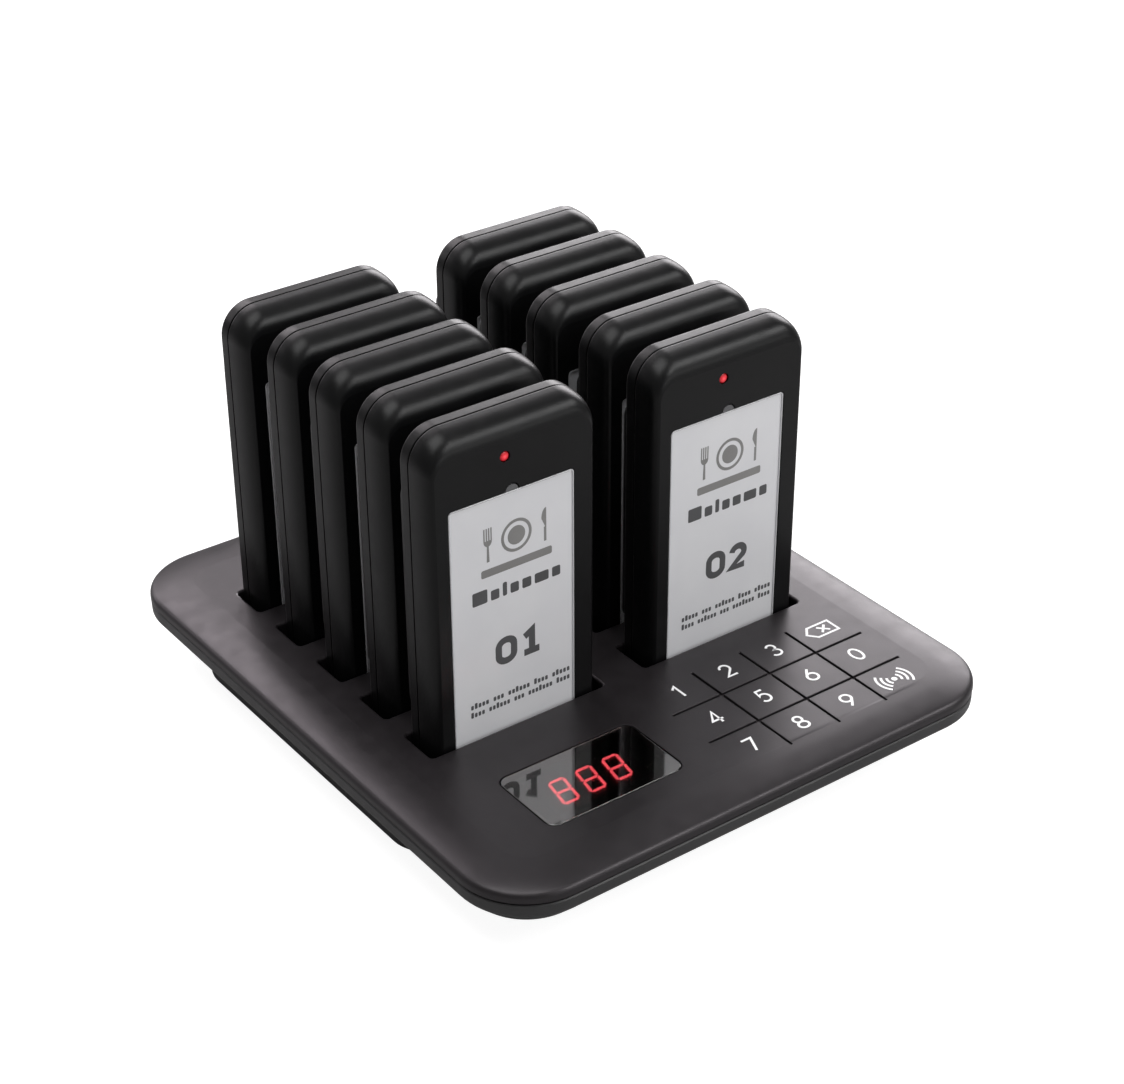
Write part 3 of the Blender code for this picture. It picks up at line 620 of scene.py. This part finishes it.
# Each glyph is a list of (path, closed) strokes in a cell 0.62 wide and 1 high.
SIX = [(ellipse(0.31, 0.31, 0.31, 0.31), True),
       ([(0.47, 1.0)] + smooth_line([(0.47, 1.0), (0.19, 0.66), (0.015, 0.38)], 5)[1:], False)]
GLYPHS = {
    "0": [(ellipse(0.31, 0.5, 0.31, 0.5), True)],
    "1": [([(0.10, 0.78), (0.36, 1.0), (0.36, 0.0)], False)],
    "2": [(arc(0.31, 0.70, 0.28, 0.30, 170, -38) + [(0.02, 0.0), (0.62, 0.0)], False)],
    "3": [(arc(0.29, 0.755, 0.24, 0.245, 155, -90) + arc(0.29, 0.26, 0.30, 0.26, 85, -155), False)],
    "4": [([(0.46, 0.0), (0.46, 1.0), (0.0, 0.27), (0.66, 0.27)], False)],
    "5": [([(0.56, 1.0), (0.17, 1.0), (0.09, 0.53)] + arc(0.29, 0.33, 0.31, 0.33, 112, -145), False)],
    "6": SIX,
    "7": [([(0.0, 1.0), (0.60, 1.0), (0.20, 0.0)], False)],
    "8": [(ellipse(0.31, 0.755, 0.24, 0.245), True), (ellipse(0.31, 0.255, 0.30, 0.255), True)],
    "9": turned_over(SIX),
    "erase": [([(-0.50, 0.5), (-0.12, 0.95), (1.15, 0.95), (1.15, 0.05), (-0.12, 0.05)], True),
              ([(0.30, 0.74), (0.78, 0.26)], False), ([(0.78, 0.74), (0.30, 0.26)], False)],
    "page": [(ellipse(0.31, 0.5, 0.10, 0.10, 16), True)]
            + [(arc(0.31, 0.5, r, r, mid - 42, mid + 42, 12), False)
               for r in (0.42, 0.74, 1.06) for mid in (0, 180)],
}
BOLD = {**GLYPHS,
        "0": [(outline_at(0.62, 1.0, 0.30, (0.31, 0.5), 6), True)],
        "1": [([(0.04, 0.78), (0.34, 0.99), (0.34, 0.0)], False), ([(0.02, 0.0), (0.64, 0.0)], False)]}
SYMBOL_SIZE = {"erase": 1.12, "page": 0.95}
KEYS = (("1", "2", "3", "erase"), ("4", "5", "6", "0"), ("7", "8", "9", "page"))


def key_legends():
    """White printed legends, one in each cell of the keypad."""
    bm = bmesh.new()
    pitch_x, pitch_y = KEY_X[1] - KEY_X[0], KEY_Y[1] - KEY_Y[0]
    height, line = 5.2 * MM, 0.70 * MM
    for row, names in enumerate(KEYS):
        for col, name in enumerate(names):
            cx = KEY_X[0] + (col - 0.5) * pitch_x
            cy = KEY_Y[0] + (row - 0.5) * pitch_y + 0.3 * MM

            def place(x, y, h, cx=cx, cy=cy):
                return (cx + x, cy + y, h)

            for k, (pts, closed) in enumerate(GLYPHS[name]):
                tall = height * SYMBOL_SIZE.get(name, 1.0)
                path = [((x - 0.31) * tall, (y - 0.5) * tall) for x, y in pts]
                top = Z_TOP + INK_HI + 0.002 * k * MM
                stroke(bm, path, line, Z_TOP + INK_LO, top, place, closed)
    return make("key_legends", bm, MAT_LEGEND)


def display_window():
    bm = bmesh.new()
    add_loft(bm, inset_rings(WIN_W, WIN_D, WIN_R, [
        (0.0, WIN_LO.z), (0.0, WIN_HI.z - 0.22 * MM), (0.05 * MM, WIN_HI.z - 0.09 * MM),
        (0.14 * MM, WIN_HI.z - 0.02 * MM), (0.28 * MM, WIN_HI.z)]), WIN_C, 12)
    return shade(make("window_pane", bm, MAT_WINDOW))


def seven_segments():
    """Three lit eights, each of seven separate bars, each laid on a wider sheet of painted glow."""
    bm, glow = bmesh.new(), bmesh.new()
    height, width, bar, pitch, slant = 9.3 * MM, 4.5 * MM, 0.72 * MM, 8.5 * MM, 0.18
    z = MODULE_TOP + 0.02 * MM
    for digit in (-1, 0, 1):
        def place(x, y, h, cx=WIN_C.x + 0.3 * MM + digit * pitch):
            return (cx + x + slant * y, WIN_C.y + 0.6 * MM + y, h)

        for y in (-height / 2, 0.0, height / 2):
            bars = [((-width / 2, y), (width / 2, y))]
            if y < height / 4:
                bars += [((s * width / 2, y), (s * width / 2, y + height / 2)) for s in (-1, 1)]
            for a, b in bars:
                a, b = Vector(a), Vector(b)
                way = (b - a).normalized()
                side = Vector((-way.y, way.x)) * bar / 2
                a, b = a + way * 0.14 * MM, b - way * 0.14 * MM
                tip = way * bar / 2
                prism(bm, [tuple(q) for q in (a, a + tip + side, b - tip + side, b, b - tip - side,
                                              a + tip - side)], z + 0.10 * MM, z + 0.25 * MM, place)
                # painted glow: a wider emitting sheet under each bar stands in for its spill of light
                grow = side * 1.7
                prism(glow, [tuple(q) for q in (a - way * 0.3 * MM, a + tip + grow, b - tip + grow,
                                                b + way * 0.3 * MM, b - tip - grow, a + tip - grow)],
                      z, z + 0.05 * MM, place)
    return make("segment_bars", bm, MAT_SEGMENT), make("segment_glow", glow, MAT_PAINTED_HALO)


# ------------------------------------------------------------------ pager pieces, drawn once at the origin
PG_MID = (0.0, PG_H / 2)
CARD_MID = (CARD_X, sum(CARD_Z) / 2)


def front_cover():
    """Front half: rounded face with the card's recess, the thumb notch and the lamp's hole."""
    bm = bmesh.new()
    face = [(FACE_ROUND, 0.0), (4.1 * MM, 0.54 * MM), (2.3 * MM, 1.72 * MM), (1.05 * MM, 3.3 * MM),
            (0.32 * MM, 5.3 * MM), (0.02 * MM, PG_SEAM - 0.2 * MM)]
    rings = [(PG_W - 2 * SIDE_ROUND * inset, PG_H - 2 * inset, PG_R - CORNER_ROUND * inset, y)
             for inset, y in smooth_line(face, 5)]
    seam = [(0.07 * MM, PG_SEAM - 0.06 * MM), (0.2 * MM, PG_SEAM)]
    add_loft(bm, rings + inset_rings(PG_W, PG_H, PG_R, seam), PG_MID, 12, "Y")
    cover = make("front_cover", bm, MAT_PAGER)
    hollow, cuts = bmesh.new(), bmesh.new()
    add_loft(hollow, inset_rings(PG_W, PG_H, PG_R, [
        (6.4 * MM, 2.6 * MM), (WALL, 4.8 * MM), (WALL, PG_SEAM + MM)]), PG_MID, 6, "Y")
    lip = [(-0.30 * MM, -1 * MM), (-0.30 * MM, 0.0), (-0.12 * MM, 0.05 * MM), (-0.03 * MM, 0.13 * MM),
           (0.0, 0.26 * MM), (0.0, 1.3 * MM)]
    add_loft(cuts, inset_rings(CARD_W + 2 * CARD_GAP, CARD_H + 2 * CARD_GAP, CARD_R + CARD_GAP, lip),
             CARD_MID, 8, "Y")
    add_turned(cuts, [(1.75 * MM, -MM), (1.75 * MM, -0.001 * MM), (1.55 * MM, 0.10 * MM),
                      (1.48 * MM, 0.30 * MM), (1.48 * MM, 4 * MM)], (LED_X, LED_Z), "Y", 36)
    for s in (-CONTACT_X, CONTACT_X):
        add_box(cuts, (s - 2.9 * MM, s + 2.9 * MM), (4.9 * MM, 7 * MM), (-MM, 4 * MM))
    notch = bmesh.new()
    add_turned(notch, [(2.45 * MM, -MM), (2.45 * MM, 0.0), (2.2 * MM, 0.15 * MM), (2.15 * MM, 1.0 * MM)],
               (CARD_X, CARD_Z[1] + 0.2 * MM), "Y", 40)
    combine(cover, ("DIFFERENCE", make("hollow", hollow)), ("DIFFERENCE", make("cuts", cuts)),
            ("DIFFERENCE", make("notch", notch)))
    return shade(cover)


def rear_cover():
    """Rear half with its raised back and two sound slits."""
    bm = bmesh.new()
    edge_line = [(0.0, PG_T - 0.7 * MM), (0.06 * MM, PG_T - 0.36 * MM), (0.24 * MM, PG_T - 0.10 * MM),
                 (0.62 * MM, PG_T)]
    add_loft(bm, inset_rings(PG_W, PG_H, PG_R, [
        (0.25 * MM, PG_SEAM + 0.35 * MM), (0.06 * MM, PG_SEAM + 0.42 * MM), (0.0, PG_SEAM + 0.6 * MM)]
        + smooth_line(edge_line, 4)), PG_MID, 12, "Y")
    cover = make("rear_cover", bm, MAT_PAGER)
    bump_mid, bump_h = (0.0, sum(BUMP_Z) / 2), BUMP_Z[1] - BUMP_Z[0]
    back = PG_T + BUMP_T
    bump, hollow, bump_hollow, cuts = bmesh.new(), bmesh.new(), bmesh.new(), bmesh.new()
    brow = [(0.0, back - 1.1 * MM), (0.12 * MM, back - 0.55 * MM), (0.42 * MM, back - 0.18 * MM),
            (1.0 * MM, back)]
    add_loft(bump, inset_rings(BUMP_W, bump_h, 4 * MM, [(0.0, PG_T - MM)] + smooth_line(brow, 4)),
             bump_mid, 10, "Y")
    add_loft(hollow, inset_rings(PG_W, PG_H, PG_R, [(WALL, PG_SEAM - MM), (WALL, PG_T - 1.5 * MM)]),
             PG_MID, 6, "Y")
    add_loft(bump_hollow, inset_rings(BUMP_W, bump_h, 4 * MM, [
        (2.4 * MM, PG_T - 2 * MM), (2.4 * MM, back - 1.4 * MM)]), bump_mid, 5, "Y")
    for k in range(2):
        slit = [(0.0, PG_T + MM), (0.0, back - 0.25 * MM), (-0.25 * MM, back), (-0.25 * MM, back + MM)]
        add_loft(cuts, inset_rings(8 * MM, 1.2 * MM, 0.55 * MM, slit), (0.0, (78.6 + 2.6 * k) * MM), 6, "Y")
    combine(cover, ("UNION", make("bump", bump)), ("DIFFERENCE", make("hollow", hollow)),
            ("DIFFERENCE", make("bump_hollow", bump_hollow)), ("DIFFERENCE", make("cuts", cuts)))
    return shade(cover)


def label_card():
    bm = bmesh.new()
    back = CARD_Y + 0.6 * MM
    add_loft(bm, inset_rings(CARD_W, CARD_H, CARD_R, [
        (0.0, back), (0.0, CARD_Y + 0.12 * MM), (0.04 * MM, CARD_Y + 0.04 * MM), (0.12 * MM, CARD_Y)]),
        CARD_MID, 8, "Y")
    return shade(make("card", bm, MAT_CARD))


def card_rim():
    """The clear cover's edge round the card, coloured light grey as a painted highlight, and its thumb tab.
    """
    bm = bmesh.new()
    ring = []
    for inset, y in ((-0.20, 0.55), (-0.20, 0.16), (-0.10, 0.08), (0.12, 0.08), (0.20, 0.16), (0.20, 0.39)):
        pts = outline(CARD_W - 2 * inset * MM, CARD_H - 2 * inset * MM, CARD_R - inset * MM, 8)
        ring.append([bm.verts.new((a + CARD_MID[0], y * MM, b + CARD_MID[1])) for a, b in pts])
    n = len(ring[0])
    for lo, hi in zip(ring, ring[1:] + ring[:1]):
        for k in range(n):
            bm.faces.new((lo[k], lo[(k + 1) % n], hi[(k + 1) % n], hi[k]))
    rim = shade(make("card_rim", bm, MAT_RIM_PAINTED_HIGHLIGHT))
    tab = bmesh.new()
    half = arc(CARD_X, CARD_Z[1] + 0.32 * MM, 1.9 * MM, 1.75 * MM, 0, 180, 24)
    prism(tab, half, 0.18 * MM, 0.60 * MM, lambda x, z, y: (x, y, z))
    return rim, shade(make("card_tab", tab, MAT_TAB))


def led():
    """Domed lamp lens, from the core's lens out through the front cover."""
    bm = bmesh.new()
    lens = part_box("core_01")[0].y - PG_LO.y
    profile = [(1.35 * MM, lens - 0.02 * MM), (1.35 * MM, 0.52 * MM)]
    profile += [(1.35 * MM * math.cos(a), 0.52 * MM - 0.42 * MM * math.sin(a))
                for a in (math.radians(15 * k) for k in range(1, 6))] + [(0.1 * MM, 0.10 * MM)]
    add_turned(bm, profile, (LED_X, LED_Z), "Y", 32)
    return shade(make("led", bm, MAT_LED))


# ------------------------------------------------------------------ printing on the cards
def on_card(x, z, h):
    """A point of the printing: x from the middle of the print, z up the pager, h off the card."""
    return (x + PRINT_X, CARD_Y - h, z)


def cutlery():
    """A plain fork, plate and knife over a rule: a stock restaurant pictogram."""
    bm = bmesh.new()
    lo, hi = INK_LO, INK_HI
    z0, z1 = 66.6 * MM, 76.4 * MM
    mid_z = (z0 + z1) / 2

    def rect(x0, x1, a, b, h=hi):
        prism(bm, [(x0, a), (x1, a), (x1, b), (x0, b)], lo, h, on_card)

    fork_x, knife_x = -8.8 * MM, 8.8 * MM
    for k in (-1.5, -0.5, 0.5, 1.5):
        x = fork_x + k * 0.72 * MM
        rect(x - 0.2 * MM, x + 0.2 * MM, z1 - 3.6 * MM, z1)
    prism(bm, arc(fork_x, z1 - 3.6 * MM, 1.28 * MM, 1.7 * MM, 180, 360, 16), lo, hi + 0.002 * MM, on_card)
    prism(bm, [(fork_x - 0.28 * MM, z1 - 5.2 * MM), (fork_x - 0.42 * MM, z0), (fork_x + 0.42 * MM, z0),
               (fork_x + 0.28 * MM, z1 - 5.2 * MM)], lo, hi + 0.004 * MM, on_card)
    spine = knife_x + 0.5 * MM
    blade = [(spine, z0 + 3.4 * MM)] + arc(spine, z1 - 3.0 * MM, 1.5 * MM, 3.0 * MM, 180, 90, 10)
    prism(bm, blade, lo, hi, on_card)
    rect(knife_x - 0.25 * MM, spine, z0, z0 + 4.2 * MM, hi + 0.002 * MM)
    stroke(bm, ellipse(0.0, mid_z, 4.3 * MM, 4.3 * MM, 48), 0.85 * MM, lo, hi, on_card, True)
    prism(bm, ellipse(0.0, mid_z, 2.7 * MM, 2.7 * MM, 40), lo, hi, on_card)
    prism(bm, outline_at(22.0 * MM, 2.3 * MM, 0.5 * MM, (0.0, 63.4 * MM)), lo, hi, on_card)
    return make("card_icon", bm, MAT_ICON)


def blocks():
    """Letter-sized blocks where the card carries a word and two lines of small print."""
    bm = bmesh.new()

    def block(x, z, wide, tall, r, segs):
        prism(bm, outline_at(wide, tall, r, (x, z + tall / 2), segs), INK_LO, INK_HI, on_card)

    x, foot, gap = -13.9 * MM, 54.9 * MM, 1.1 * MM
    for k, width in enumerate((4.6, 2.6, 1.3, 2.6, 2.8, 4.4, 2.6)):
        w = width * MM
        block(x + w / 2, foot, w, (4.0 if k in (0, 2) else 2.9) * MM, 0.45 * MM, 4)
        x += w + gap
    start, length = -15.4 * MM, 32.0 * MM
    for foot, words in ((23.9 * MM, (5, 3, 6, 4, 5)), (21.3 * MM, (4, 6, 3, 7, 4))):
        step = length / (sum(words) + len(words) - 1)
        x = start
        for word in words:
            for k in range(word):
                tall = (1.75 if (k * 3 + word) % 4 == 0 else 1.30) * MM
                block(x + step / 2, foot, step * 0.70, tall, 0.25 * MM, 2)
                x += step
            x += step
    return make("card_lines", bm, MAT_INK)


def number_plate(text):
    """The pager's number in bold figures."""
    bm = bmesh.new()
    height, wide, line = 6.4 * MM, 7.8 * MM, 2.0 * MM
    middle_z, figures_x = 38.25 * MM, (-3.75 * MM, 4.15 * MM)
    for at, figure in zip(figures_x, text):
        for k, (pts, closed) in enumerate(BOLD[figure]):
            path = [(at + (x - 0.31) * wide, middle_z + (y - 0.5) * height) for x, y in pts]
            stroke(bm, path, line, INK_LO, INK_HI + 0.002 * k * MM, on_card, closed)
    return make("number_" + text, bm, MAT_INK)


# ------------------------------------------------------------------ placing the pager pieces
def build_pagers():
    """Copies the drawn pieces to all ten pagers and numbers their cards."""
    patterns = [("front_cover", front_cover(), ("front_shell",), "pager_black"),
                ("rear_cover", rear_cover(), ("rear_shell",), "pager_black"),
                ("card", label_card(), ("label_card",), "label_white")]
    rim, tab = card_rim()
    patterns += [("card_rim", rim, (), "label_white"), ("card_tab", tab, (), None), ("led", led(), (), None),
                 ("card_icon", cutlery(), (), None), ("card_lines", blocks(), (), None)]
    for n in NUMBERS:
        lo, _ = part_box("front_shell_%02d" % n)
        at = Vector((lo.x + PG_W / 2, lo.y, lo.z))
        pieces = [(name, ob.copy(), nodes, slot) for name, ob, nodes, slot in patterns]
        pieces.append(("card_number", number_plate("%02d" % n), (), None))
        for name, ob, nodes, slot in pieces:
            ob.name = "%s_%02d" % (name, n)
            if ob.name not in bpy.context.scene.collection.objects:
                bpy.context.scene.collection.objects.link(ob)
            ob.location = at
            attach(ob, "pager_%02d" % n)
            if nodes:
                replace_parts(ob, *["%s_%02d" % (node, n) for node in nodes])
    for _, ob, _, _ in patterns:
        bpy.data.objects.remove(ob, do_unlink=True)


# ------------------------------------------------------------------ small base pieces
def switch_knob():
    """Slide knob with grip grooves, on the plate that keeps it in the wall."""
    lo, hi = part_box("power_switch")
    x, z = middle_from_back("power_switch")
    bm = bmesh.new()
    add_loft(bm, inset_rings(3.0 * MM, 1.9 * MM, 0.35 * MM, [
        (0.0, lo.y + 2 * MM), (0.0, hi.y - 0.3 * MM), (0.08 * MM, hi.y - 0.1 * MM), (0.28 * MM, hi.y)]),
        (x, z), 5, "Y")
    plate = bmesh.new()
    add_loft(plate, [(6.0 * MM, 3.2 * MM, 0.4 * MM, h) for h in (lo.y, lo.y + 2.6 * MM)], (x, z), 4, "Y")
    ridges = bmesh.new()
    for k in (-1, 0, 1):
        add_box(ridges, (x + (k * 0.75 - 0.15) * MM, x + (k * 0.75 + 0.15) * MM),
                (hi.y - 0.2 * MM, hi.y + MM), (z - 1.5 * MM, z + 1.5 * MM))
    knob = combine(make("switch_knob", bm, MAT_SWITCH), ("UNION", make("plate", plate)),
                   ("DIFFERENCE", make("ridges", ridges)))
    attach(shade(knob), "switch")
    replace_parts(knob, "power_switch")


def inlet():
    """Round power inlet: block, barrel and centre pin."""
    lo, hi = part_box("power_jack")
    x, z = middle_from_back("power_jack")
    bm = bmesh.new()
    add_loft(bm, inset_rings(6.4 * MM, 6.0 * MM, 0.5 * MM, [
        (0.2 * MM, lo.y), (0.0, lo.y + 0.2 * MM), (0.0, 85.8 * MM), (0.2 * MM, 86 * MM)]), (x, z), 4, "Y")
    nose = bmesh.new()
    add_turned(nose, [(1.95 * MM, 85 * MM), (1.95 * MM, hi.y - 0.2 * MM), (1.8 * MM, hi.y)], (x, z), "Y", 48)
    bore = bmesh.new()
    add_turned(bore, [(1.4 * MM, 80 * MM), (1.4 * MM, hi.y - 0.25 * MM), (1.6 * MM, hi.y),
                      (1.6 * MM, hi.y + MM)], (x, z), "Y", 48)
    body = combine(make("inlet_body", bm, MAT_BLACK), ("UNION", make("nose", nose)),
                   ("DIFFERENCE", make("bore", bore)))
    pin = bmesh.new()
    tip = hi.y - 1.5 * MM
    add_turned(pin, [(0.5 * MM, 79.8 * MM), (0.5 * MM, tip - 0.3 * MM), (0.38 * MM, tip - 0.08 * MM),
                     (0.2 * MM, tip)], (x, z), "Y", 24)
    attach(shade(body), "base")
    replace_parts(body, "power_jack")
    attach(shade(make("inlet_pin", pin, MAT_NICKEL)), "base")


def feet_and_screws():
    """Four rubber feet, and four case screws with their threads and cross drives."""
    for k in range(1, 5):
        lo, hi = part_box("foot_%d" % k)
        mid, r = middle("foot_%d" % k), (hi.x - lo.x) / 2
        bm = bmesh.new()
        add_turned(bm, [(r - 1.6 * MM, lo.z + 0.18 * MM), (r - 1.35 * MM, lo.z), (r - 0.45 * MM, lo.z),
                        (r - 0.14 * MM, lo.z + 0.12 * MM), (r, lo.z + 0.42 * MM), (r, hi.z)], mid, sides=64)
        foot = shade(make("rubber_foot_%d" % k, bm, MAT_RUBBER))
        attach(foot, "base")
        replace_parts(foot, "foot_%d" % k)
        lo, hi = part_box("screw_%d" % k)
        mid = middle("screw_%d" % k)
        bm = bmesh.new()
        half_pitch = 0.28
        turns = [(0.72 + 0.26 * (j % 2), 0.95 + half_pitch * j)
                 for j in range(int((hi.z - lo.z) / MM / half_pitch) - 6)]
        add_turned(bm, [(2.0 * MM, lo.z), (2.35 * MM, lo.z + 0.1 * MM), (2.5 * MM, lo.z + 0.35 * MM),
                        (2.5 * MM, lo.z + 0.8 * MM)] + [(r1 * MM, lo.z + h * MM) for r1, h in turns]
                   + [(0.5 * MM, hi.z)], mid, sides=40)
        drive = [bmesh.new(), bmesh.new()]
        for cutter, (a, b) in zip(drive, ((1.3, 0.27), (0.27, 1.3))):
            add_loft(cutter, [(2 * a * MM, 2 * b * MM, 0.2 * MM, h) for h in (lo.z - MM, lo.z)]
                     + [(1.2 * a * MM, 1.2 * b * MM, 0.12 * MM, lo.z + 0.7 * MM)], mid, 3)
        screw = combine(make("case_screw_%d" % k, bm, MAT_STEEL), *[
            ("DIFFERENCE", make("drive", cutter)) for cutter in drive])
        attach(shade(screw), "base")
        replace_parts(screw, "screw_%d" % k)


# ------------------------------------------------------------------ carried-over CAD nodes
def paint(node, mat):
    """Gives a CAD node one material and leaves its shape alone."""
    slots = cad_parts[node].material_slots
    for slot in slots:
        slot.material = mat
    if not slots:
        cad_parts[node].data.materials.append(mat)


def paint_nodes():
    main_lo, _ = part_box("main_board")
    touch_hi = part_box("touch_board")[1]
    charge_lo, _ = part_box("charge_board_left")
    main = board("main_board_green", "Z", "Object", main_lo.z, main_lo.z + 1.61 * MM)
    touch = board("touch_board_green", "Z", "Object", touch_hi.z - 1.05 * MM, touch_hi.z)
    charge = board("charge_board_green", "Z", "Object", charge_lo.z, charge_lo.z + 1.21 * MM,
                   parts=(0.62, 0.45, 0.18))
    core_lo, core_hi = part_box("core_01")
    face, back = ((y - (core_lo.y - PG_LO.y)) / (core_hi.y - core_lo.y) for y in CORE_BOARD_Y)
    core = board("core_green", "Y", "Generated", face - 0.01, back + 0.01, tall=0.95)
    paint("main_board", main)
    paint("touch_board", touch)
    paint("charge_board_left", charge)
    paint("charge_board_right", charge)
    paint("display_module", MAT_BLACK)
    paint("antenna", MAT_COPPER)
    for n in NUMBERS:
        paint("core_%02d" % n, core)


# ------------------------------------------------------------------ stage
SET_MIDDLE = (0.0, 0.0, 0.05)
LIGHTS = (      # name, size, watts, place, aim, colour
    ("overhead", (0.7, 0.7), 5.5, (-0.18, 0.0, 1.0), SET_MIDDLE, (1, 1, 1)),
    ("back_right", (1.0, 0.62), 13.0, (1.02, 0.76, 0.51), SET_MIDDLE, (1.0, 0.965, 0.99)),
    ("back_left", (0.8, 0.40), 2.4, (-0.31, 1.16, 0.48), SET_MIDDLE, (1.0, 0.94, 0.98)),
    ("back_high", (0.55, 0.32), 3.6, (0.07, 0.84, 0.71), SET_MIDDLE, (1.0, 0.93, 0.97)),
    ("front_high", (0.9, 0.26), 4.9, (0.54, -0.62, 0.77), (0.0, 0.0, 0.08), (1, 1, 1)),
    ("front_low", (1.0, 0.30), 1.5, (0.365, -1.0, 0.30), (0.0, 0.0, 0.08), (1, 1, 1)),
)
WORLD_STRENGTH = 0.22
FLOOR_SIZE = 4.0
CAMERA_PLACE = (-0.33043, -0.45554, 0.38654)
CAMERA_TURN = (59.0688, 0.2699, -36.5025)       # tilt, roll and heading in degrees
CAMERA_LENS = 76.281


def light(name, size, power, at, towards, colour):
    """A rectangular area light that faces the point towards."""
    data = bpy.data.lights.new(name, "AREA")
    data.shape, data.size, data.size_y = "RECTANGLE", size[0], size[1]
    data.energy, data.color = power, colour
    ob = bpy.data.objects.new(name, data)
    ob.location = at
    ob.rotation_mode = "QUATERNION"
    ob.rotation_quaternion = (Vector(at) - Vector(towards)).to_track_quat("Z", "Y")
    bpy.context.scene.collection.objects.link(ob)


def stage():
    """Floor, pale surroundings and soft lights."""
    bm = bmesh.new()
    bmesh.ops.create_grid(bm, x_segments=1, y_segments=1, size=FLOOR_SIZE)
    floor = make("floor", bm, pale_floor())
    world = bpy.data.worlds.new("studio")
    bpy.context.scene.world = world
    world.use_nodes = True
    sky = world.node_tree.nodes["Background"].inputs
    sky["Color"].default_value = (1.0, 1.0, 1.0, 1.0)
    sky["Strength"].default_value = WORLD_STRENGTH
    for lamp in LIGHTS:
        light(*lamp)
    bpy.context.scene.view_settings.view_transform = "Standard"


def camera():
    """Looks down 31 degrees at the set from its front left corner."""
    data = bpy.data.cameras.new("camera")
    data.lens, data.sensor_width, data.clip_start, data.clip_end = CAMERA_LENS, 36.0, 0.01, 20.0
    ob = bpy.data.objects.new("camera", data)
    bpy.context.scene.collection.objects.link(ob)
    ob.location = CAMERA_PLACE
    ob.rotation_euler = [math.radians(turn) for turn in CAMERA_TURN]
    bpy.context.scene.camera = ob


# ------------------------------------------------------------------ the set
cover = top_cover()
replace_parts(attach(cover, "base"), "top_shell")
tray = lower_cover()
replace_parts(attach(tray, "base"), "bottom_shell")
pane = display_window()
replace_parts(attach(pane, "base"), "display_window")
for part in (key_legends(), *seven_segments()):
    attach(part, "base")
build_pagers()
switch_knob()
inlet()
feet_and_screws()
paint_nodes()
stage()
camera()
